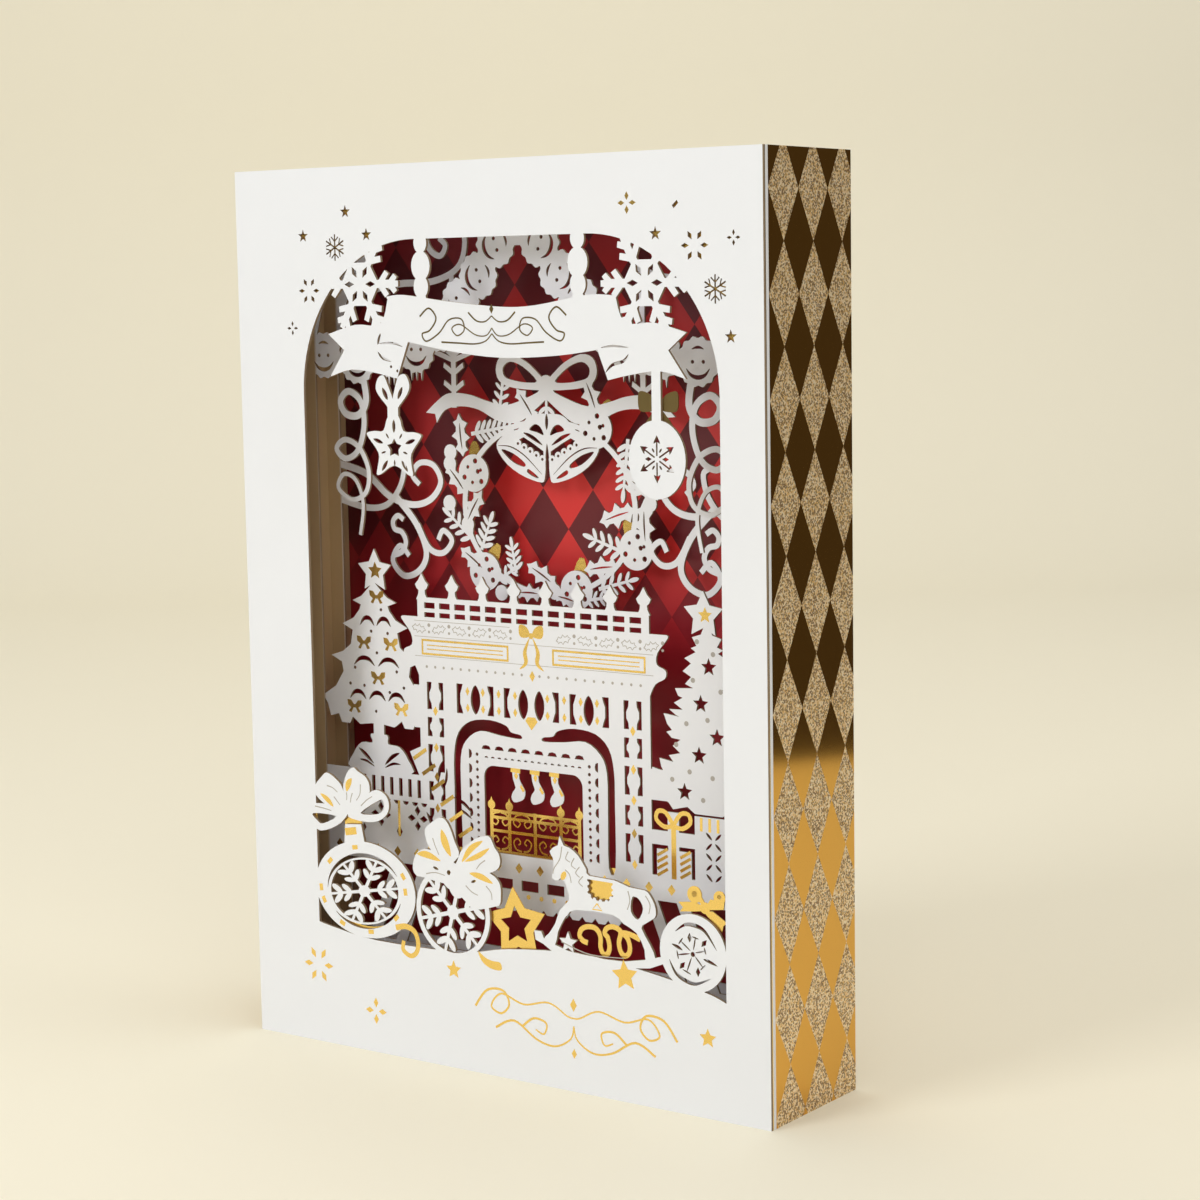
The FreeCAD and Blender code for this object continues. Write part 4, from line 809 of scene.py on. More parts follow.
def goldOnFront():
    marks = rays(left - 0.5, low - 7.8, 2.7, 1.2, 0.6)
    for x, z, size in ((right - 19.7, top + 5.3, 1.4), (left + 14.7, low - 15.4, 1.9)):
        marks += rays(x, z, 0.9 * size, 0.55 * size, 0.32 * size, 0, 4)
    marks += [star(left + 35.2, low - 4.0, 1.9, 0.9), star(right - 4.2, low - 8.7, 1.9, 0.9),
              star(30.7, 24.6, 3.1, 1.5, 5, 96)]
    for x, z in ((-42.6, 38.4), (-45.2, 32.6), (-44.5, 30.1), (-39.7, 25.8), (-32.1, 24.9), (-25.3, 28.6),
                 (-22.8, 34.2), (-23.3, 37.3), (-35.8, 41.9)):
        turn = math.degrees(math.atan2((z - ringOne[1]) / 0.56, x - ringOne[0]))
        marks.append(placed(rectangle(-0.45, -0.7, 0.45, 0.7), x, z, 1.0, turn))
    marks.append(placed(rectangle(-1.5, -0.75, 1.5, 0.75), -36.8, 45.1, 1.0, 10))
    for knot, points, width in (
            (leftKnot, ((-6.9, 3.1), (-5.0, 2.0), (-3.5, 0.7)), 1.0),
            (leftKnot, ((0.2, 4.2), (0.7, 5.8), (1.6, 7.0)), 1.3),
            (rightKnot, ((-2.7, 7.7), (-1.9, 5.2), (-0.5, 2.5)), 1.7),
            (rightKnot, ((-9.1, 2.1), (-6.6, 2.2), (-3.1, 1.3)), 1.3),
            (rightKnot, ((2.3, 1.7), (4.6, 4.6), (7.6, 6.5)), 1.2),
            (rightKnot, ((3.0, 1.9), (6.4, 3.4), (9.2, 5.2)), 1.0),
            (rightKnot, ((4.1, -0.3), (7.0, -0.7), (9.9, -1.7)), 1.2)):
        marks.append(slit(placed(points, *knot), width))
    marks += softBand([(-25.5, 26.6), (-22.9, 27.2), (-20.7, 26.4), (-19.8, 24.4), (-20.2, 22.3), (-21.8, 21.3),
                       (-23.7, 22.3), (-23.5, 24.2)], 1.2, 0.9)
    marks.append(smooth([(-4.5, 24.6), (-3.7, 22.8), (-1.7, 21.6), (1.1, 21.5), (0.9, 23.0), (-1.1, 23.1),
                         (-2.9, 23.6)], 3))
    marks.append(placed(circle(0, 0, 0.95, 14, 0.0, 0.62), horse[0] - 7.8, horse[1] + 15.2, 1.0, 60))
    marks += band([(horse[0] + u, horse[1] + v) for u, v in ((0, 10.7), (-1.1, 9.5), (1.1, 9.5), (0, 10.7))], 0.3)
    return paperPiece("goldOnFront", [("add", marks)], frontY - stamp["proud"], stamp["depth"], [stampedGold] * 2)


def engravedOnFront():
    # fine folds and curls on the bows and the horse
    lines = []
    for knot, points in (
            (leftKnot, ((-5.1, 4.9), (-3.6, 4.6), (-2.3, 3.8))), (leftKnot, ((-3.3, 2.8), (-1.7, 1.2))),
            (leftKnot, ((0.1, 4.0), (0.2, 3.2), (0.1, 2.4))), (leftKnot, ((1.7, 4.0), (1.3, 3.0), (1.1, 2.0))),
            (leftKnot, ((3.9, 6.0), (3.7, 4.0), (2.7, 2.6))), (leftKnot, ((3.9, 1.6), (5.4, 2.9), (6.9, 3.8))),
            (leftKnot, ((-8.5, 0.3), (-6.0, 0.1), (-4.1, -0.2))),
            (rightKnot, ((-5.0, 5.7), (-4.4, 4.2), (-3.5, 2.5))),
            (rightKnot, ((8.1, 2.7), (6.8, 1.8), (5.9, 0.7))),
            (rightKnot, ((-6.9, -1.7), (-4.6, -1.2), (-2.1, -1.5))),
            (rightKnot, ((3.1, -2.9), (4.6, -4.0), (6.1, -4.5))),
            (rightKnot, ((8.2, -2.4), (9.4, -3.6), (9.6, -5.0))),
            (horse, ((-8.1, 20.8), (-8.6, 18.4), (-10.0, 16.4), (-10.3, 15.3))),
            (horse, ((-6.6, 20.0), (-7.2, 18.6), (-6.2, 18.0))),
            (horse, ((-5.2, 18.9), (-5.9, 17.5), (-4.9, 16.8))),
            (horse, ((-4.0, 17.3), (-4.9, 16.1), (-4.0, 15.3))),
            (horse, ((-3.2, 15.6), (-4.2, 14.4), (-3.3, 13.6))),
            (horse, ((-7.4, 16.4), (-6.4, 15.6), (-6.0, 14.0))),
            (horse, ((7.2, 14.0), (7.6, 12.2), (7.0, 10.4))), (horse, ((11.2, 13.6), (12.2, 12.0), (11.9, 10.2))),
            (horse, ((-8.6, 2.2), (-2.0, 0.6), (6.0, 0.9)))):
        lines += softBand(placed(points, *knot), 0.24, 0.16)
    return paperPiece("engravedOnFront", [("add", lines)], frontY - stamp["proud"] / 2, stamp["depth"],
                      [engravedLine] * 2)


def linesOnFront():
    y = frontY - stamp["proud"]
    return (paperPiece("flourish", [("add", flourishLines())], y, panelHigh.y - frontY, [stampedGold] * 2),
            paperPiece("bannerScroll", [("add", bannerLines())], y, stamp["depth"], [darkFoil] * 2))


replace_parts(frontFoil(), "front_foil")
goldOnFront()
engravedOnFront()
for piece in linesOnFront():
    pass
x, z = ringOne
ringBow = [(-4.9, 7.6), (0, 8.4), (-1.2, 15.0), (0.6, 21.6), (-1.6, 22.4), (-4.6, 18.0), (-10.6, 20.6),
           (-11.2, 18.4), (-5.6, 15.0)]
ringFoil = foilBehind("ringFoil", [circle(x, z, 12.2, 48, 0.0, 0.74), placed(ringBow, x, z)],
                      [circle(x, z, 10.2, 44, 0.0, 0.75)])
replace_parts(ringFoil, "ring_foil")
petalsBehind = [(-7.0, 2.9), (-9.4, 1.0), (-8.4, -1.6), (-1.6, -2.2), (4.8, -5.8), (10.2, -4.6), (8.0, 0.0),
                (10.4, 3.6), (8.6, 6.2), (1.2, 1.2), (-1.4, 8.0), (-4.6, 8.0)]
bowFoil = foilBehind("bowFoil", [placed(petalsBehind, *rightKnot)])
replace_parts(bowFoil, "bow_foil")


def ballBowShapes(x, z):
    outlines = [circle(x, z, 1.1, 18), circle(x - 2.3, z + 2.3, 1.6, 20), circle(x + 3.2, z + 2.3, 1.3, 18)]
    for points in ([(-0.6, 0.3), (-2.0, 2.0), (-1.0, 2.4), (0.2, 0.6)],
                   [(-0.6, 0.4), (-2.6, 0.9), (-5.9, 0.5), (-4.9, -0.4), (-5.6, -1.3), (-2.4, -0.9), (-0.4, -0.6)],
                   [(0.4, 0.6), (1.2, 1.8), (4.3, 1.7), (4.1, 0.2), (1.2, -0.2)],
                   [(0.4, -0.6), (1.6, -0.4), (4.8, -2.2), (4.0, -2.9), (3.7, -4.1), (0.2, -1.2)]):
        outlines.append(placed(points, x, z))
    return outlines, [circle(x - 2.3, z + 2.4, 0.6, 12), circle(x + 3.2, z + 2.5, 0.45, 12)]


ballBow = foilBehind("smallBallBow", *ballBowShapes(smallBall[0] + 2.4, smallBall[1] + 8.7))
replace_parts(ballBow, "small_ball_bow")
curlPath = [(-2.8, 2.6), (-4.0, 2.9), (-4.7, 3.8), (-4.2, 5.1), (-2.6, 5.8), (-0.8, 5.6), (0.2, 4.2), (0.2, 2.2),
            (0.9, 0.9), (1.9, 1.2), (2.3, 2.6), (1.9, 4.2), (1.2, 5.0), (1.8, 6.1), (3.4, 6.5), (4.9, 5.7),
            (4.5, 3.6), (4.9, 1.9), (5.8, 1.2), (6.8, 1.9), (7.0, 3.4), (6.4, 4.8), (5.4, 5.6), (7.2, 5.5),
            (9.4, 4.8)]
curl = foilBehind("curlFoil", softBand(placed(curlPath, *horse), 1.0))
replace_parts(curl, "curl_foil")
hangingBow = foilBehind("hangingBow", foilBow(ballPlace[0], ballPlace[1] + 9.6, 0.95), (), darkFoil)
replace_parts(hangingBow, "hanging_bow")
print("front done")


# Hearth scene
hearth = {"half": 28.5, "mantleHalf": 30.4, "mantleLow": 76.0, "mantleTop": 88.0, "railTop": 92.0, "postPitch": 7.8,
          "posts": 8, "pillarWidth": 8.2, "fireHalf": 12.2, "fireLow": 41.4, "fireTop": 59.0, "bandLow": 36.4,
          "bandTop": 41.4, "baseLow": 30.0, "footHeight": 20.0, "screenTop": 49.8, "screenBay": 6.4}
opening = {"half": 54.2, "top": 168.0, "rise": 30.0, "run": 27.0}
swagHeight, swagMiddle, swagRadius = 140.5, -1.2, 4.6
swagBalls = ((50.6, 0.2), (41.6, -0.9), (33.2, 0.4), (26.0, 1.4), (19.8, 5.6), (14.4, 10.8), (9.8, 15.8),
             (5.4, 21.8))
sceneY = nodeBox("scene_sheet")[0].y
sheetThick = 0.5
pillarMiddle = hearth["half"] - hearth["pillarWidth"] / 2


def sheetOutline(node):
    lowest, highest = nodeBox(node)
    return rectangle(lowest.x, lowest.z, highest.x, highest.z)


def sheetTabs(node):
    # the two side tabs, as lowest and highest corner of each
    lowest, highest = nodeBox(node)
    return [((lowest.x, lowest.y + sheetThick, lowest.z), (lowest.x + sheetThick, highest.y, highest.z)),
            ((highest.x - sheetThick, lowest.y + sheetThick, lowest.z), (highest.x, highest.y, highest.z))]


def swagShapes():
    outlines = []
    for side in (-1, 1):
        for x, lift in swagBalls:
            u, v = swagMiddle + side * x, swagHeight + lift
            outlines.append([(u + (swagRadius + 0.22 * math.cos(14 * a)) * math.cos(a),
                              v + (swagRadius + 0.22 * math.cos(14 * a)) * math.sin(a))
                             for a in [2 * math.pi * i / 70 for i in range(70)]])
    outlines.append(rectangle(swagMiddle - 8, swagHeight + 21.5, swagMiddle + 8, opening["top"] + 1))
    for side in (-1, 1):
        for x, lift in (swagBalls[3], swagBalls[2]):
            u, v = swagMiddle + side * x, swagHeight + lift - swagRadius
            for k in (-1, 0, 1):
                outlines.append([(u + 1.3 * k - 0.3, v + 0.6), (u + 1.3 * k + 0.3, v + 0.6),
                                 (u + 1.3 * k, v - 1.6)])
    return outlines


def swagCuts():
    outlines = []
    for side in (-1, 1):
        for i, (x, lift) in enumerate(swagBalls):
            u, v = swagMiddle + side * x, swagHeight + lift
            lean = 0 if i < 4 else side * (35 if i < 6 else 70)
            outlines.append(slit(arc(u, v, 2.9, 205 + lean, 335 + lean), 0.8))
            outlines.append(slit(arc(u, v, 2.7, 60 + lean, 120 + lean, 4), 0.5))
            for k in (-1, 1):
                turn = math.radians(90 + lean)
                across = 1.2 * k
                outlines.append(circle(u - across * math.sin(turn), v + across * math.cos(turn), 0.38, 10))
    return outlines


ribbonPath = [(-41.5, 137.0), (-40.7, 131.6), (-42.8, 128.6), (-46.2, 128.8), (-47.6, 131.4), (-45.4, 133.4),
              (-42.2, 131.4), (-41.4, 126.6), (-43.2, 121.4), (-46.6, 119.6), (-49.0, 121.6), (-46.6, 123.5),
              (-42.8, 121.8), (-40.5, 117.2), (-41.4, 112.8), (-45.2, 111.2), (-48.8, 113.6), (-47.2, 116.4),
              (-44.0, 115.2), (-42.2, 110.4), (-43.2, 104.0)]
leftTiers = [(1.2, 93.4), (3.4, 91.4), (5.8, 90.4), (3.6, 89.6), (4.0, 88.6), (5.6, 86.8), (8.7, 85.4), (6.0, 84.2),
             (6.6, 81.2), (8.8, 79.6), (12.0, 78.6), (9.2, 77.4), (8.8, 75.4), (11.0, 72.2), (14.6, 70.0),
             (13.4, 68.4), (12.6, 65.8), (10.4, 66.4), (9.6, 64.6), (7.4, 64.6), (6.6, 66.0), (4.6, 64.6),
             (1.6, 65.0)]
rightTiers = [(1.3, 88.6), (3.3, 88.0), (2.3, 86.4), (3.6, 85.9), (2.5, 85.2), (5.1, 83.9), (3.6, 83.0),
              (5.5, 81.4), (3.6, 80.4), (5.0, 79.0), (3.2, 78.3), (7.3, 78.0), (6.6, 76.6), (5.6, 76.3),
              (7.6, 75.2), (5.6, 74.0), (8.7, 73.9), (7.2, 72.9), (6.4, 72.6), (10.0, 73.0), (9.2, 71.0),
              (8.1, 69.9), (9.4, 69.5), (8.2, 68.4), (6.2, 68.2), (8.0, 66.9), (6.3, 65.6), (8.9, 65.0),
              (7.9, 63.8), (11.1, 64.3), (10.7, 62.6), (10.1, 61.8), (12.8, 62.4), (13.0, 58.0), (11.1, 57.0),
              (9.1, 55.8), (8.1, 54.6), (4.8, 55.4), (3.1, 54.2)]


def tree(x, z, tiers):
    return [(x, z)] + [(x + u, v) for u, v in tiers] + [(x - u, v) for u, v in reversed(tiers)]


def fenceShapes():
    outlines = [rectangle(-hearth["half"], hearth["mantleTop"] - 1, hearth["half"], hearth["railTop"])]
    post = [(-1.5, -0.5), (-0.9, 0.6), (-0.8, 1.4), (-1.3, 1.8), (-1.7, 2.6), (-0.9, 3.4), (0, 4.9)]
    shape = post + [(-u, v) for u, v in reversed(post[:-1])]
    for k in range(hearth["posts"]):
        outlines.append(placed(shape, (k - (hearth["posts"] - 1) / 2) * hearth["postPitch"], hearth["railTop"]))
    return outlines


def mantleShape():
    half, wide, base, top = hearth["half"], hearth["mantleHalf"], hearth["mantleLow"], hearth["mantleTop"]
    side = smooth([(half, base), (wide - 0.6, base + 2.4), (wide + 1.6, base + 3.6), (wide + 1.8, base + 5.2),
                   (wide - 0.2, base + 6.2), (wide, base + 8.5), (wide + 2.4, top - 0.6), (wide + 2.0, top)],
                  3, False)
    return side + [(-x, z) for x, z in reversed(side)]


def hearthCuts():
    cuts = []
    columns = 2 * (hearth["posts"] - 1)
    railTop, mantleLow, fireHalf = hearth["railTop"], hearth["mantleLow"], hearth["fireHalf"]
    for k in range(columns):
        x = (k - (columns - 1) / 2) * hearth["postPitch"] / 2
        cuts += [rectangle(x - 1.35, railTop - 2.2, x + 1.35, railTop - 1.0),
                 rectangle(x - 1.35, railTop - 4.0, x + 1.35, railTop - 3.0)]
    frieze = mantleLow - 4.0
    lens = smooth([(0, -3.0), (1.1, -1.2), (1.1, 1.2), (0, 3.0), (-1.1, 1.2), (-1.1, -1.2)], 3)
    half = [(-0.8, -3.0), (0.8, -3.0), (0.5, -2.0), (0.1, -1.0), (0.1, 1.0), (0.5, 2.0), (0.8, 3.0), (-0.8, 3.0)]
    for x in (-14.0, -2.0, 2.0, 14.0):
        cuts.append(placed(lens, x, frieze))
    for x, flip in ((-18.0, False), (-10.2, True), (-6.0, False), (6.0, True), (10.2, False), (18.0, True)):
        cuts.append(placed(half, x, frieze, 1.0, 0, flip))
    for side in (-1, 1):
        for drop, tall in ((4, 1), (10.4, 0.7), (16.8, 1), (23.6, 0.7), (30, 1)):
            for hand in (-1, 1):
                bar = [(0.6, -2.8), (0.6, 2.8), (-0.6, 2.8), (-0.5, 1.6), (0.0, 0.6), (0.0, -0.6), (-0.5, -1.6),
                       (-0.6, -2.8)]
                cuts.append([(side * pillarMiddle + hand * (1.5 + u), mantleLow - drop + v * tall) for u, v in bar])
    outer = fireHalf + 6.8
    slot = smooth([(outer - 0.8, hearth["bandTop"]), (outer + 0.8, hearth["bandTop"]), (outer + 0.9, 54),
                   (outer + 0.8, 60.5), (outer - 0.4, 65.0), (outer - 3.6, 67.6), (10.4, 68.2), (6.4, 67.4),
                   (5.2, 66.2), (2.8, 65.8), (2.9, 65.0), (8, 65.3), (13, 65.8), (outer - 2.4, 63.6),
                   (outer - 0.9, 60.0), (outer - 0.8, 52)], 3)
    cuts += [slot, [(-x, z) for x, z in slot]]
    mouth = [(-fireHalf, hearth["fireLow"]), (fireHalf, hearth["fireLow"])]
    mouth += archPoints(-fireHalf, fireHalf, hearth["fireTop"], 2.4, 2.4, 6)
    cuts.append(mouth)
    for z, radius, pitch in ((hearth["fireTop"] + 3.2, 1.15, 3.3), (hearth["fireTop"] + 1.5, 0.45, 1.65)):
        for k in range(8 if radius > 1 else 15):
            x = (k - (3.5 if radius > 1 else 7)) * pitch
            cuts.append([(x + radius, z), (x + 0.7 * radius, z + 0.6 * radius), (x, z + 0.75 * radius),
                         (x - 0.7 * radius, z + 0.6 * radius), (x - radius, z)])
    for side in (-1, 1):
        for k in range(7):
            x, z = side * (fireHalf + 3.8), hearth["fireLow"] + 1.6 + 3.0 * k
            cuts.append([(x, z - 1.0), (x, z + 1.0), (x - side * 0.6, z + 0.7), (x - side * 0.8, z),
                         (x - side * 0.6, z - 0.7)])
        for k in range(13):
            cuts.append(circle(side * (fireHalf + 1.7), hearth["fireLow"] + 1.0 + 1.55 * k, 0.36, 8))
    return cuts


def bucketShapes():
    body = rectangle(-47.4, hearth["bandTop"] - 1, -26.4, 50.0)
    cup = [(-47.4, 49.0), (-26.4, 49.0), (-27.6, 55.3), (-47.4, 55.3)]
    bow = smooth([(-47.2, 55.0), (-46.6, 58.4), (-44.4, 60.8), (-41.4, 61.0), (-41.8, 62.8), (-37.4, 62.8),
                  (-37.2, 61.0), (-34.2, 60.6), (-32.0, 58.2), (-31.6, 55.0)], 3)
    return [body, cup, bow, rectangle(-41.0, 61.8, -38.2, 66.0)]


def bucketCuts():
    cuts = [rectangle(-43.8 + 2.43 * k - 0.45, 50.5, -43.8 + 2.43 * k + 0.45, 54.2) for k in range(7)]
    for k in range(8):
        x = -45.0 + 2.43 * k
        cuts.append([(x - 0.8, 49.5), (x + 0.8, 49.5), (x + 0.5, 48.9), (x, 48.7), (x - 0.5, 48.9)])
    for x in (-39.6, -29.8):
        cuts += rays(x, 46.2, 1.6, 1.05, 0.75, 0, 4)
    for x in (-44.2, -35.0, -34.4, -26.9):
        cuts.append(diamond(x, 43.0, 0.9, 0.5, 90))
    cuts += [slit([(-45.2, 59.6), (-43.4, 58.4), (-41.2, 56.6)], 0.8),
             slit([(-45.0, 57.2), (-43.2, 57.0), (-41.0, 56.0)], 0.5),
             slit([(-34.2, 59.4), (-36.2, 58.4), (-38.2, 56.6)], 0.8),
             slit([(-34.0, 57.0), (-36.0, 57.0), (-38.2, 56.0)], 0.5)]
    return cuts


def giftShapes():
    bandTop, edge = hearth["bandTop"], opening["half"]
    body = [(-31.4, 60.0), (-27.8, 61.6), (-15.6, 46.0), (-17.0, 41.0), (-22.0, 41.0)]
    upper = smooth([(-25.0, 53.0), (-25.4, 57.0), (-24.2, 60.0), (-22.2, 60.8), (-20.6, 58.2), (-21.4, 54.6),
                    (-22.4, 52.0)], 3)
    lower = smooth([(-22.2, 52.8), (-19.0, 53.0), (-15.4, 50.8), (-13.4, 48.2), (-14.0, 46.2), (-17.6, 46.8)], 3)
    boxes = [rectangle(28.0, 47.4, 39.0, 50.2), rectangle(38.4, bandTop - 1, edge + 1, 53.8),
             rectangle(32.2, bandTop - 1, 34.8, 54.0), rectangle(29.6, bandTop - 1, 37.6, 46.6)]
    return [body, upper, lower] + boxes


def giftCuts():
    cuts = [slit([(-24.2, 54.0), (-23.6, 57.0), (-22.4, 59.2)], 0.8),
            slit([(-22.8, 53.0), (-22.0, 55.2), (-21.8, 57.4)], 0.6),
            slit([(-20.4, 51.6), (-17.6, 50.6), (-15.2, 48.6)], 0.7),
            slit([(-19.4, 49.6), (-17.2, 48.6), (-15.6, 47.6)], 0.5)]
    for k in range(6):
        for row in range(5):
            x, z, turn = 41.6 + 2.1 * k, 42.2 + 2.0 * row, 45 if (k + row) % 2 else 135
            cuts.append(slit(placed([(-0.95, 0), (0.95, 0)], x, z, 1.0, turn), 0.5))
    cuts += [rectangle(29.8, 46.6, 32.3, 47.0), rectangle(34.8, 46.6, 37.4, 47.0)]
    return cuts


def legShapes():
    outlines = []
    for side in (-1, 1):
        for x in (26.4, 33.6):
            outlines.append([(side * x, hearth["bandLow"] + 1), (side * (x + 2.8), hearth["bandLow"] + 1),
                             (side * (x + 10.4), hearth["footHeight"] - 1),
                             (side * (x + 7.6), hearth["footHeight"] - 1)])
    return outlines


def treeCuts():
    cuts = [star(x, z, 1.8, 0.8) for x, z in ((42.0, 82.5), (40.1, 75.4), (43.7, 69.2), (39.6, 65.5), (36.2, 58.2))]
    for z, half, waves in ((86.3, 4.2, 2), (77.9, 6.2, 2), (70.8, 7.4, 3)):
        for k in range(waves):
            x = -39.8 + (k - (waves - 1) / 2) * 2 * half / waves * 1.05
            reach = half / waves * 0.9
            cuts.append(slit([(x - reach, z - 0.9), (x - 0.4 * reach, z + 0.5), (x + 0.4 * reach, z + 0.5),
                              (x + reach, z - 0.9)], 0.9))
    for x, z in ((-38.2, 88.8), (-41.0, 84.2), (-36.6, 84.0), (-45.6, 76.4), (-34.4, 76.2), (-39.6, 79.8),
                 (-47.0, 73.0), (-32.6, 73.0), (-40.2, 67.6), (-43.2, 72.8), (-36.4, 71.8)):
        cuts.append(circle(x, z, 0.35, 8))
    return cuts


def sceneSheet():
    half, bandTop, bandLow = opening["half"], hearth["bandTop"], hearth["bandLow"]
    arch = [(-half, hearth["footHeight"]), (half, hearth["footHeight"])]
    arch += archPoints(-half, half, opening["top"], opening["run"], opening["rise"], 20)
    ribbon = softBand(ribbonPath, 1.6, 0.8)
    adds = swagShapes() + ribbon + mirrored(ribbon, swagMiddle) + fenceShapes()
    adds += [mantleShape(), rectangle(-hearth["half"], bandTop - 1, hearth["half"], hearth["mantleLow"] + 1),
             rectangle(-half - 1, bandLow, half + 1, bandTop), rectangle(-half - 1, bandTop - 1, -47.0, 55.3)]
    hem = [(-10.5, bandTop), (-10.5, hearth["baseLow"] + 1.0)]
    for k in range(10):
        hem += [(-10.5 + 3.15 * (k + 0.25), hearth["baseLow"]), (-10.5 + 3.15 * (k + 0.75), hearth["baseLow"]),
                (-10.5 + 3.15 * (k + 1), hearth["baseLow"] + 0.9)]
    adds.append(hem + [(21.0, bandTop)])
    adds += [tree(-40.0, 94.6, leftTiers), star(-39.7, 96.7, 4.6, 2.4), tree(41.6, 91.4, rightTiers),
             star(40.9, 92.3, 4.6, 2.4)]
    adds += bucketShapes() + giftShapes() + legShapes()
    adds += [rectangle(hearth["half"] - 1, 56.0, 33.0, 62.0), rectangle(-30.0, 65.2, -27.0, 74.0)]
    cuts = swagCuts() + hearthCuts() + bucketCuts() + giftCuts() + treeCuts()
    cuts += [rectangle(x - 2.1, hearth["baseLow"] + 4.3, x + 2.1, bandLow) for x in (-7.6, -1.2, 5.2, 11.6, 18.0)]
    cuts.append(slit([(-27.4, 47.8), (-25.4, 44.8), (-23.2, 41.6)], 1.2))
    steps = [("add", [sheetOutline("scene_sheet")]), ("cut", [arch]), ("add", adds), ("cut", cuts)]
    return paperPiece("sceneSheet", steps, sceneY, sheetThick, [sheetPaper, cutEdge], sheetTabs("scene_sheet"))


def tinyBow(x, z, size=1.0):
    loop = [(-0.1, 0.2), (-0.9, 1.2), (-1.9, 1.3), (-1.8, 0.2), (-1.0, -0.3)]
    end = [(-0.1, 0), (-0.9, -1.4), (-1.6, -1.2), (-0.6, 0.2)]
    return bothWays(loop, x, z, size) + bothWays(end, x, z, size) + [circle(x, z, 0.4 * size, 8)]


def goldOnScene():
    marks = [star(-39.5, 96.8, 1.9, 0.9), star(41.3, 92.3, 1.6, 0.75)]
    for x in (29.7, 35.0):
        for k in range(4):
            marks += band([(x, 41.4 + 1.3 * k), (x + 2.4, 42.8 + 1.3 * k)], 0.6)
    for x, z in ((-39.3, 91.4), (-43.0, 81.8), (-35.8, 81.8), (-39.4, 74.6), (-46.0, 68.3), (-33.4, 68.5)):
        marks += tinyBow(x, z)
    loop = smooth([(-0.3, 0.2), (-1.2, 1.6), (-2.8, 1.9), (-3.0, 0.3), (-2.4, -0.6), (-0.8, -0.5)], 3)
    marks += bothWays(loop, 0.3, 86.0) + [circle(0.3, 85.8, 0.6, 12)]
    marks += bothWays(slit([(-0.4, 0), (-1.6, -2.8), (-1.4, -5.0), (-3.0, -6.4)], 0.9), 0.3, 85.4)
    marks.append(diamond(0.4, 77.8, 1.1, 0.7, 90))
    for side in (-1, 1):
        low, high = sorted((side * 5.6, side * 27.4))
        for a, b in (((low, 80.5), (high, 80.5)), ((low, 83.3), (high, 83.3)), ((low, 80.3), (low, 83.5)),
                     ((high, 80.3), (high, 83.5))):
            marks += band([a, b], 0.42)
        for z in (81.5, 82.3):
            marks += band([(low + 1.2, z), (high - 1.2, z)], 0.22)
        for drop in (6.5, 14.0, 20.0, 26.5, 32.6):
            marks.append(diamond(side * pillarMiddle, hearth["mantleLow"] - drop - 0.6, 1.0, 0.62, 90))
    for x in (-16.0, -12.1, -8.1, -4.0, 4.0, 8.1, 12.1, 16.0):
        marks += [diamond(x, 73.6, 0.9, 0.5, 90), diamond(x, 70.2, 0.9, 0.5, 90)]
    marks.append([(-0.9, 69.6), (0.9, 69.6), (1.5, 68.8), (0, 67.0), (-1.5, 68.8)])
    for k in range(-10, 11):
        x = 1.4 + 5.25 * k
        if abs(x) < opening["half"]:
            marks.append(diamond(x, 38.8, 1.1, 0.9, 90))
    for k in range(-2, 6):
        marks.append(circle(1.6 + 3.2 * k, 33.2, 0.5, 10))
    for k in range(6):
        x, z = -29.0 + 2.3 * k, 60.2 - 3.0 * k
        marks += band([(x - 1.5, z - 1.6), (x + 1.9, z + 0.6)], 0.8)
    marks.append(rectangle(33.0, 41.0, 34.1, 51.0))
    for side in (-1, 1):
        loop = [(0, 0), (side * 1.7, 2.4), (side * 3.5, 2.5), (side * 3.9, 0.9), (side * 2.0, -0.4), (0, 0)]
        marks += band([(33.5 + x, 51.4 + z) for x, z in smooth(loop, 3)], 0.9)
    marks += [rectangle(39.6 + 1.9 * k, 51.0, 40.2 + 1.9 * k, 53.6) for k in range(8)]
    marks.append(rectangle(-35.0, 42.0, -34.4, 49.5))
    return paperPiece("goldOnScene", [("add", marks)], sceneY - stamp["proud"], stamp["depth"], [stampedGold] * 2)


def linesOnScene():
    marks = []
    for k in range(12):
        x = -28.2 + 5.2 * k
        if abs(x - 0.4) < 5:
            continue
        outline = holly(x, 85.6, 3.6, 12 if k % 2 else -10)
        marks += band(outline + outline[:1], 0.16)
        marks += [circle(x + 2.6, 86.4, 0.4, 8), circle(x + 2.6, 85.0, 0.3, 8)]
    for k in range(-12, 13):
        if abs(k) > 0:
            marks.append(circle(2.2 * k, 77.9, 0.3, 8))
    for x, z in ((39.4, 87.2), (43.0, 85.0), (38.4, 79.8), (44.6, 78.0), (41.6, 72.4), (36.8, 71.4), (46.0, 73.6),
                 (34.4, 67.2), (46.4, 65.4), (37.4, 62.2), (42.6, 61.4), (33.4, 60.4), (40.4, 57.0), (46.6, 58.6)):
        marks.append(circle(x, z, 0.5, 10))
    for z in (87.2, 84.0, 80.0):
        marks += band([(-29.4, z), (-5.0 if z > 85 else 29.4, z)], 0.1)
    return paperPiece("engravedScene", [("add", marks)], sceneY - 0.02, 0.05, [engravedLine] * 2)


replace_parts(sceneSheet(), "scene_sheet")
goldOnScene()
linesOnScene()


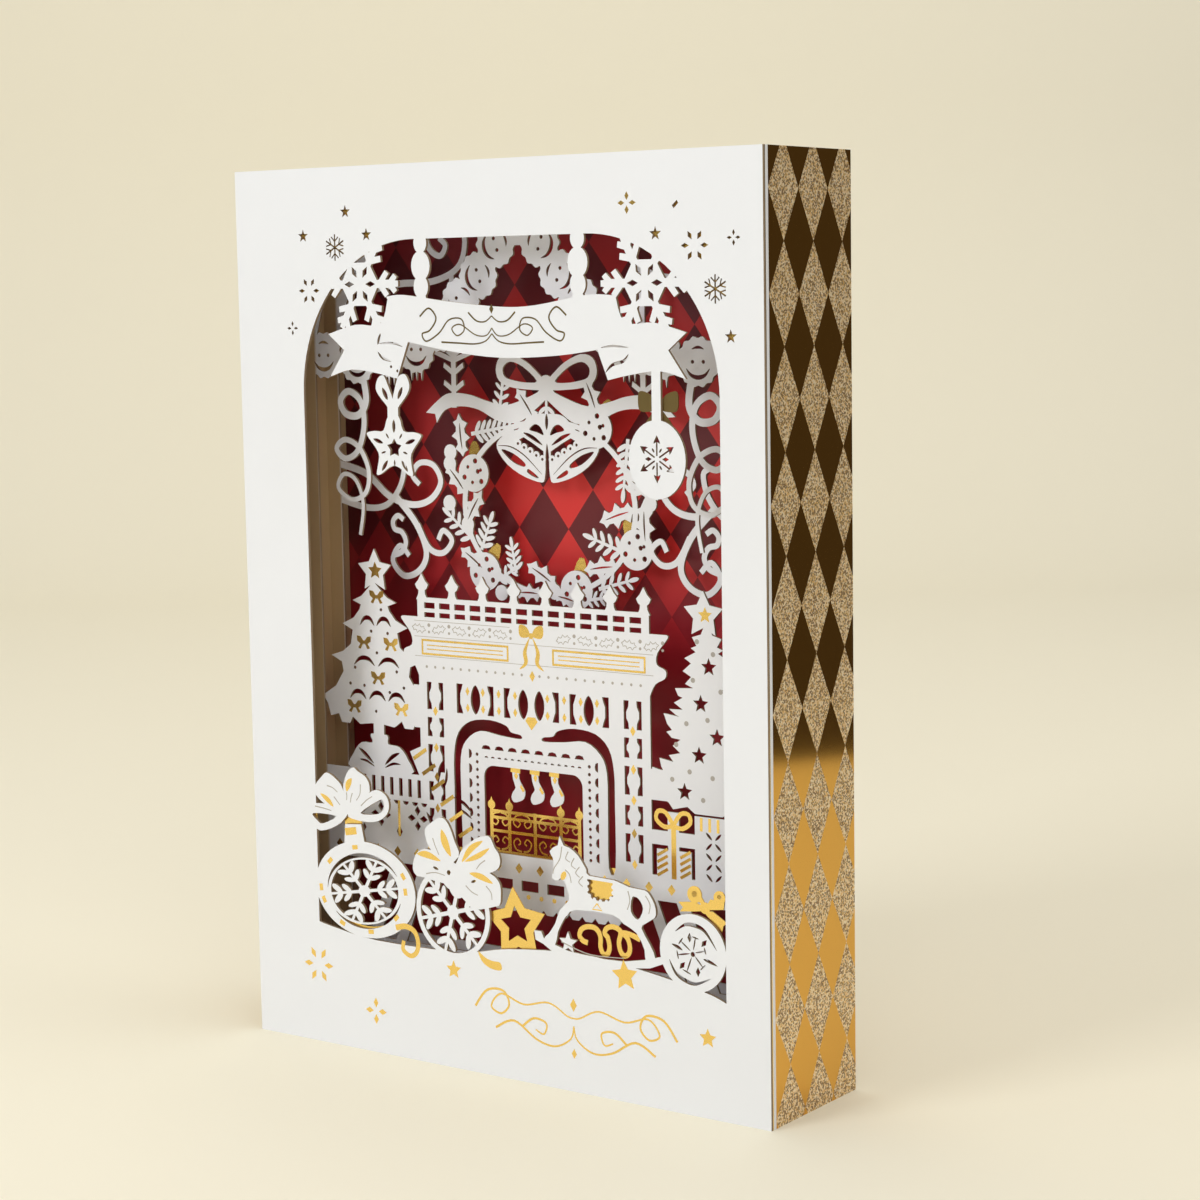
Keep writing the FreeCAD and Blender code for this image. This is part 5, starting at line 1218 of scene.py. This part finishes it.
# Gold fire screen and stockings, glued behind the scene sheet
def fireScreen():
    screenLow, screenHigh = nodeBox("fire_screen")
    fireLow, bay, topRail = hearth["fireLow"], hearth["screenBay"], hearth["screenTop"]
    half = hearth["fireHalf"] - 1.3
    adds = [rectangle(-hearth["half"] + 0.5, hearth["bandLow"] + 0.5, hearth["half"] - 0.5, fireLow)]
    for x in (-half, -bay, 0.0, bay, half):
        adds.append(rectangle(x - 0.4, fireLow - 0.5, x + 0.4, topRail + 0.4))
    for z in (fireLow + 0.2, fireLow + 4.4, topRail, topRail - 1.3):
        adds.append(rectangle(-half, z - 0.3, half, z + 0.3))
    for x in (-half, -bay, bay, half):
        adds += [circle(x, topRail + 1.2, 0.95, 14), diamond(x, topRail + 1.6, 1.3, 0.5, 90)]
    for x in (-1.3629 * bay, -0.5 * bay, 0.5 * bay, 1.3629 * bay):
        for flip in (False, True):
            scroll = [(0.2, 0.2), (1.6, 0.6), (2.2, 2.0), (1.2, 2.8), (0.5, 2.0), (1.1, 1.5)]
            adds += band(placed(smooth(scroll, 4, False), x, fireLow + 0.5, 1.0, 0, flip), 0.4, 0.3)
            hanging = smooth([(u, 4.0 - v) for u, v in scroll], 4, False)
            adds += band(placed(hanging, x, fireLow + 4.4, 1.0, 0, flip), 0.4, 0.3)
    return paperPiece("fireScreen", [("add", adds)], screenLow.y, screenHigh.y - screenLow.y, [stampedGold] * 2)


def stockingPiece():
    sockLow, sockHigh = nodeBox("stockings")
    z = hearth["fireTop"] + 0.2
    shapes = [rectangle(-8.0, z + 0.3, 8.0, z + 1.8)]
    cuffs = []
    for x in (-4.6, 0.2, 5.0):
        sock = [(-0.9, 0.8), (0.9, 0.8), (0.85, -0.8), (0.9, -2.4), (1.6, -3.6), (2.3, -4.8), (2.0, -6.2),
                (0.9, -6.9), (-0.6, -7.2), (-1.2, -6.2), (-0.7, -5.0), (-0.1, -4.2), (-0.7, -2.6), (-0.9, -0.8)]
        shapes.append(placed(smooth(sock, 2), x, z))
        cuffs += [placed(rectangle(-1.2, -1.2, 1.2, 0.6), x, z, 1.0, -4), diamond(x + 0.1, z - 1.8, 0.8, 0.5, 90)]
        cuffs.append(placed([(1.3, -3.4), (2.2, -4.6), (1.7, -5.0), (1.0, -4.0)], x, z))
    thickness = sockHigh.y - sockLow.y
    white = paperPiece("stockingSheet", [("add", shapes)], sockLow.y, thickness, [sheetPaper, cutEdge])
    gold = paperPiece("stockingCuffs", [("add", cuffs)], sockLow.y - stamp["proud"], stamp["depth"],
                      [stampedGold] * 2)
    return white, gold


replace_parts(fireScreen(), "fire_screen")
white, gold = stockingPiece()
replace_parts(white, "stockings")
print("hearth scene done")


# Wreath sheet
wreath = {"height": 110.5, "radius": 21.0, "squash": 0.82, "bowHeight": 134.9, "half": 54.0}
wreathY = nodeBox("wreath_sheet")[0].y
leaves = ((-21.7, 14.0, 96, 7.6), (-22.9, 4.9, -50, 7.4), (-18.8, -0.6, 58, 7.4), (-18.9, -11.3, -35, 7.4),
          (-1.8, -13.5, -30, 7.6), (-5.1, -17.2, 0, 6.4), (4.1, -17.9, -12, 5.6), (12.9, -11.3, 8, 7.8),
          (16.9, -0.9, 18, 8.2), (23.1, -2.5, 92, 8.2), (22.7, 4.5, -30, 7.4), (-4.9, 20.1, -55, 7.2),
          (10.9, 22.1, -68, 7.6))
sprigs = ((-19.0, 14.3, 11.0, 10, 7, 2.7), (-11.7, 19.1, 4.6, 80, 3, 2.4), (19.5, 14.0, 10.0, -97, 6, 2.8),
          (-19.0, -7.0, 7.4, 142, 4, 2.9), (-17.0, -9.0, 6.0, 68, 4, 2.8), (-8.3, -13.3, 5.2, 100, 4, 2.4),
          (18.0, -8.0, 7.6, 162, 4, 2.9), (12.0, -15.5, 7.6, 15, 4, 2.6), (8.5, -17.9, 6.0, 8, 4, 2.0),
          (-13.0, -15.0, 4.4, 30, 3, 2.2))
baubles = ((11.8, 15.8, 3.9), (-18.6, 6.4, 3.8), (21.0, -7.4, 4.0), (6.6, -16.0, 3.9), (-16.2, -13.4, 3.9))
berries = ((-24.5, 10.5), (-24.7, 8.2), (-25.0, 0.2), (-12.1, -17.5), (24.4, 1.6), (-20.4, -4.0), (1.2, -16.6))


def leafySprig(x, z, length, turn, pairs, reach):
    # twig with pairs of round-ended leaves and one at its tip
    outlines = [placed([(0, -0.4), (length, -0.25), (length, 0.25), (0, 0.4)], x, z, 1.0, turn)]
    for k in range(pairs):
        root, size = length * (0.10 + 0.78 * k / max(pairs - 1, 1)), 0.5 * reach * (1.0 - 0.2 * k / pairs)
        for side in (1, -1):
            leaf = placed(circle(0, 0, size, 14, 0.0, 0.36), root + 0.62 * size, side * 0.85 * size, 1.0, side * 54)
            outlines.append(placed(leaf, x, z, 1.0, turn))
    outlines.append(placed(circle(length + 0.4 * reach, 0, 0.5 * reach, 14, 0.0, 0.36), x, z, 1.0, turn))
    return outlines


def scrollBands():
    paths = [([(-54.6, 118.0), (-47.0, 116.0), (-41.0, 111.6), (-35.0, 110.0), (-30.0, 111.2), (-27.2, 114.8),
               (-29.0, 118.2), (-32.6, 118.6), (-34.6, 116.2), (-32.8, 114.2)], 1.5),
             ([(-54.6, 110.6), (-47.0, 109.0), (-41.6, 109.8), (-38.0, 113.6), (-36.8, 118.0), (-38.4, 119.4)],
              1.4),
             ([(-39.0, 111.4), (-34.0, 106.2), (-31.4, 100.4), (-33.2, 96.6), (-37.4, 95.2), (-40.4, 98.2),
               (-38.4, 101.4), (-36.0, 99.4)], 1.5),
             ([(-40.0, 99.4), (-37.9, 100.2), (-36.8, 102.2), (-37.8, 104.2), (-39.7, 104.8), (-40.1, 106.4),
               (-38.8, 107.6), (-37.3, 106.8)], 1.2),
             ([(-33.6, 106.0), (-30.6, 101.2), (-27.0, 100.4), (-24.6, 103.0), (-26.8, 105.0), (-28.2, 103.0)],
              1.3),
             ([(-46.0, 153.6), (-37.0, 155.0), (-28.0, 155.4), (-21.6, 158.0), (-19.6, 163.0), (-21.0, 169.0)],
              1.5),
             ([(-30.6, 169.0), (-29.2, 162.6), (-26.2, 160.4), (-24.6, 162.4), (-26.2, 164.0)], 1.3)]
    outlines = []
    for path, width in paths:
        outlines += softBand(path, width, 1.1)
    return outlines


def hangingFlake():
    x = -23.2
    outlines = [rectangle(x - 0.6, 130.0, x + 0.6, 156.8)]
    for z in (134.0, 137.5, 141.0):
        for hand in (-1, 1):
            outlines.append([(x, z), (x, z - 1.2), (x + hand * 2.6, z + 0.6), (x + hand * 2.4, z + 1.6)])
    for turn in (20, 160):
        outlines += band(placed([(0, 0), (5.6, 0)], x, 139.5, 1.0, turn), 1.0)
    return outlines


def bellShapes():
    bell = [(0.4, 18.2), (-2.0, 18.6), (-4.0, 18.2), (-5.4, 17.2), (-7.2, 15.4), (-9.6, 14.9), (-11.8, 13.4),
            (-12.6, 12.2), (-12.0, 10.6), (-10.0, 8.4), (-7.0, 6.6), (-4.0, 5.5), (-1.4, 5.0), (-0.7, 5.8),
            (-0.4, 8.4), (-0.2, 12.0), (0.4, 14.6)]
    twig = leafySprig(0, wreath["bowHeight"], 5.0, -90, 2, 2.6)
    return bothWays(smooth(bell, 2), 0, wreath["height"]) + twig


def bellCuts():
    height = wreath["height"]
    cuts = []
    shapes = [[(-11.2, 11.4), (-8.4, 10.6), (-5.6, 8.8), (-5.8, 8.0), (-8.4, 8.8), (-10.8, 10.6)],
              [(-4.6, 7.6), (-2.2, 6.0), (-3.2, 6.0), (-5.0, 6.9)],
              [(-4.3, 15.4), (-3.0, 16.5), (-1.6, 16.0), (-0.8, 14.4), (-2.4, 14.9)]]
    for points in shapes:
        cuts += bothWays(smooth(points, 3), 0, height)
    cuts += bothWays([(-7.8, 13.0), (-5.8, 13.9), (-3.6, 12.8), (-0.9, 11.2), (-0.9, 9.4), (-3.0, 10.3),
                      (-5.4, 11.6)], 0, height)
    for path, width in (([(-5.8, 14.8), (-3.6, 13.9), (-1.1, 12.4)], 0.75),
                        ([(-12.2, 12.1), (-9.0, 11.9), (-5.4, 10.1), (-1.4, 6.6)], 0.22)):
        cuts += bothWays(slit(path, width), 0, height)
    cuts.append(slit([(0, height + 12.4), (0, height + 5.6)], 0.9))
    return cuts + [slit([(0, height + 18.6), (0, height + 15.4)], 0.7)]


def bellScallops():
    # a row of pierced scallops along the lower band of each bell
    adds, dots = [], []
    for k in range(5):
        u, v = -7.2 + 1.5 * k, 12.6 - 0.75 * k
        for hand in (-1, 1):
            adds.append(circle(hand * u, wreath["height"] + v, 0.85, 12))
            dots.append(circle(hand * u, wreath["height"] + v, 0.3, 8))
    return adds, dots


def bowShape():
    loop = smooth([(-0.6, 0.8), (-2.4, 2.6), (-4.8, 4.4), (-8.6, 5.9), (-11.4, 5.2), (-12.4, 2.8), (-11.6, 0.6),
                   (-9.0, -0.6), (-4.4, -1.1), (-0.6, -1.0)], 3)
    tail = smooth([(-0.8, -1.0), (-4.5, -2.6), (-10.0, -4.2), (-15.0, -3.4), (-19.5, -2.2), (-24.5, -2.0),
                   (-27.6, -3.6), (-30.6, -6.0)], 4, False) + [(-28.2, -6.2), (-27.8, -8.0)]
    tail += smooth([(-27.8, -8.0), (-25.6, -5.4), (-21.6, -4.6), (-17.0, -5.2), (-12.0, -7.4), (-7.0, -7.6),
                    (-3.0, -5.2), (0.4, -2.6)], 4, False)[1:]
    height = wreath["bowHeight"]
    return [circle(0, height, 1.8, 20)] + bothWays(loop, 0, height) + bothWays(tail, 0, height)


def wreathSheet():
    height, radius, squash = wreath["height"], wreath["radius"], wreath["squash"]
    half = wreath["half"]
    arch = [(-half, hearth["footHeight"]), (half, hearth["footHeight"])]
    arch += archPoints(-half, half, opening["top"], opening["run"], opening["rise"], 20)
    ring = [("add", [circle(0, height, radius + 0.6, 60, 0.0, squash)]),
            ("cut", [circle(0, height, radius - 0.6, 60, 0.0, squash)])]
    adds = [holly(x, height + lift, 1.15 * size, turn) for x, lift, turn, size in leaves]
    for x, lift, length, turn, pairs, reach in sprigs:
        adds += leafySprig(x, height + lift, length, turn, pairs, reach)
    adds += [circle(x, height + lift, size, 30) for x, lift, size in baubles]
    adds += [circle(x, height + lift, 1.6, 16) for x, lift in berries]
    adds += bellShapes() + bowShape()
    for outlines in (scrollBands(), hangingFlake()):
        adds += outlines + mirrored(outlines)
    cuts = bellCuts()
    eye = smooth([(-2.2, 0.6), (-5.6, 3.4), (-8.8, 4.4), (-10.6, 3.2), (-10.2, 1.4), (-8.0, 0.7), (-5.0, 0.3)], 3)
    cuts += bothWays(eye, 0, wreath["bowHeight"])
    for x, lift, size in baubles:
        cuts += [circle(x + 0.28 * size, height + lift + 0.1 * size, 0.5, 10)]
        for k in range(6):
            angle, reach = math.radians(20 + 60 * k), (0.66 if k % 2 else 0.5) * size
            u, v = reach * math.cos(angle), reach * math.sin(angle)
            cuts.append(circle(x + u, height + lift + v, 0.55 if k % 2 else 0.38, 10))
    for x, lift, turn, size in leaves:
        vein = slit([(-0.38 * size, 0), (0, 0.1), (0.32 * size, 0)], 0.32)
        cuts.append(placed(vein, x, height + lift, 1.0, turn))
    scallops, dots = bellScallops()
    steps = [("add", [sheetOutline("wreath_sheet")]), ("cut", [arch])] + ring
    steps += [("add", adds), ("cut", cuts), ("add", scallops), ("cut", dots)]
    return paperPiece("wreathSheet", steps, wreathY, sheetThick, [sheetPaper, cutEdge], sheetTabs("wreath_sheet"))


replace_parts(wreathSheet(), "wreath_sheet")
for number in range(1, 6):
    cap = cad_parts[f"wreath_cap_{number}"]
    cap.data.materials.clear()
    cap.data.materials.append(stampedGold)
print("wreath done")


# Set: a pale sweep below and behind the card, soft lamps and a camera
setLook = {
    "sweep": (0.94, 0.89, 0.735), "behind": 800.0, "ahead": 900.0, "leftSide": 900.0, "rightSide": 390.0,
    "rise": 260.0, "wall": 1500.0, "turns": 16, "roughness": 0.9,
}
shot = {"place": (313.1, -412.9, 153.5), "yaw": 35.79, "pitch": 6.72, "roll": -0.96, "focalPixels": 2648.0,
        "framePixels": 1200.0, "sensor": 36.0}


def makeSweep():
    yaw = math.radians(shot["yaw"])
    away, aside = Vector((-math.sin(yaw), math.cos(yaw), 0)), Vector((math.cos(yaw), math.sin(yaw), 0))
    sweep = bmesh.new()
    start = [-setLook["leftSide"], setLook["rightSide"]]
    edge = [sweep.verts.new((aside * s - away * setLook["ahead"]) * mm) for s in start]
    strip = [sweep.edges.new(edge)]

    def pull(strip, move):
        grown = bmesh.ops.extrude_edge_only(sweep, edges=strip)["geom"]
        bmesh.ops.translate(sweep, verts=[g for g in grown if isinstance(g, bmesh.types.BMVert)], vec=move * mm)
        return [g for g in grown if isinstance(g, bmesh.types.BMEdge)]

    strip = pull(strip, away * (setLook["ahead"] + setLook["behind"]))
    turns = setLook["turns"]
    for k in range(turns):
        a, b = math.pi / 2 * k / turns, math.pi / 2 * (k + 1) / turns
        flat, up = math.sin(b) - math.sin(a), math.cos(a) - math.cos(b)
        strip = pull(strip, (away * flat + Vector((0, 0, 1)) * up) * setLook["rise"])
    pull(strip, Vector((0, 0, setLook["wall"])))
    bmesh.ops.recalc_face_normals(sweep, faces=sweep.faces[:])
    mesh = bpy.data.meshes.new("sweep")
    sweep.to_mesh(mesh)
    sweep.free()
    for face in mesh.polygons:
        face.use_smooth = True
    mesh.materials.append(newFinish("sweepPaper", setLook["sweep"], setLook["roughness"])[0])
    floor = bpy.data.objects.new("sweep", mesh)
    bpy.context.scene.collection.objects.link(floor)


lampLook = {
    "key": {"place": (-330, -960, 560), "target": (0, 0, 80), "size": 420, "power": 4.3,
            "colour": (0.98, 0.99, 1.0)},
    "fill": {"place": (700, -700, 700), "target": (0, 0, 80), "size": 800, "power": 2.5,
             "colour": (1.0, 0.96, 0.88)},
    "above": {"place": (-100, 250, 1300), "target": (-200, 450, 0), "size": 900, "power": 3.9,
              "colour": (1.0, 0.98, 0.94)},
    "wall": {"place": (200, 100, 1100), "target": (-700, 900, 300), "size": 700, "power": 1.9,
             "colour": (1.0, 0.98, 0.94)},
}
worldLook = {"ambient": (1.0, 0.98, 0.94), "strength": 0.40, "darkRoom": (0.062, 0.050, 0.040),
             "brightRoom": (1.0, 0.95, 0.86), "seen": (0.88, 0.84, 0.70), "front": (-1.6, 0.1),
             "above": (4.0, -0.4)}


def makeLamps():
    for name, look in lampLook.items():
        target = Vector(look["target"]) * mm
        lamp = bpy.data.lights.new(name, "AREA")
        lamp.energy, lamp.size, lamp.color = look["power"], look["size"] * mm, look["colour"]
        thing = bpy.data.objects.new(name, lamp)
        thing.location = Vector(look["place"]) * mm
        thing.rotation_euler = (target - thing.location).to_track_quat("-Z", "Y").to_euler()
        thing.visible_camera = False
        bpy.context.scene.collection.objects.link(thing)


def makeWorld():
    # mirrors see a bright room in front of the card and a dark one behind it
    world = bpy.data.worlds.new("room")
    world.use_nodes = True
    bpy.context.scene.world = world
    tree = world.node_tree
    tree.nodes.clear()
    path = tree.nodes.new("ShaderNodeLightPath")
    place = tree.nodes.new("ShaderNodeTexCoord")
    apart = tree.nodes.new("ShaderNodeSeparateXYZ")
    tree.links.new(place.outputs["Generated"], apart.inputs["Vector"])
    frontShare = mathNode(tree, "MULTIPLY_ADD", apart.outputs["Y"], *worldLook["front"])
    aboveShare = mathNode(tree, "MULTIPLY_ADD", apart.outputs["Z"], *worldLook["above"])
    for share in (frontShare, aboveShare):
        share.node.use_clamp = True
    share = mathNode(tree, "MULTIPLY", frontShare, aboveShare)
    room = mixColours(tree, share, worldLook["darkRoom"], worldLook["brightRoom"])
    soft = tree.nodes.new("ShaderNodeBackground")
    soft.inputs["Color"].default_value = (*worldLook["ambient"], 1.0)
    soft.inputs["Strength"].default_value = worldLook["strength"]
    mirror = tree.nodes.new("ShaderNodeBackground")
    tree.links.new(room, mirror.inputs["Color"])
    seen = tree.nodes.new("ShaderNodeBackground")
    seen.inputs["Color"].default_value = (*worldLook["seen"], 1.0)
    first = tree.nodes.new("ShaderNodeMixShader")
    tree.links.new(path.outputs["Is Glossy Ray"], first.inputs[0])
    tree.links.new(soft.outputs[0], first.inputs[1])
    tree.links.new(mirror.outputs[0], first.inputs[2])
    second = tree.nodes.new("ShaderNodeMixShader")
    tree.links.new(path.outputs["Is Camera Ray"], second.inputs[0])
    tree.links.new(first.outputs[0], second.inputs[1])
    tree.links.new(seen.outputs[0], second.inputs[2])
    output = tree.nodes.new("ShaderNodeOutputWorld")
    tree.links.new(second.outputs[0], output.inputs["Surface"])


def makeCamera():
    yaw, pitch, roll = (math.radians(shot[k]) for k in ("yaw", "pitch", "roll"))
    forward = Vector((-math.sin(yaw) * math.cos(pitch), math.cos(yaw) * math.cos(pitch), -math.sin(pitch)))
    flatRight = Vector((math.cos(yaw), math.sin(yaw), 0))
    flatUp = flatRight.cross(forward)
    sideways = flatRight * math.cos(roll) + flatUp * math.sin(roll)
    upwards = flatUp * math.cos(roll) - flatRight * math.sin(roll)
    camera = bpy.data.cameras.new("camera")
    camera.sensor_width = shot["sensor"]
    camera.lens = shot["focalPixels"] / shot["framePixels"] * shot["sensor"]
    camera.clip_start, camera.clip_end = 0.01, 20.0
    thing = bpy.data.objects.new("camera", camera)
    turn = Matrix((sideways, upwards, -forward)).transposed()
    thing.matrix_world = Matrix.Translation(Vector(shot["place"]) * mm) @ turn.to_4x4()
    bpy.context.scene.collection.objects.link(thing)
    bpy.context.scene.camera = thing


makeSweep()
makeLamps()
makeWorld()
makeCamera()
bpy.context.scene.view_settings.view_transform = "Standard"
print("set, lamps and camera placed")
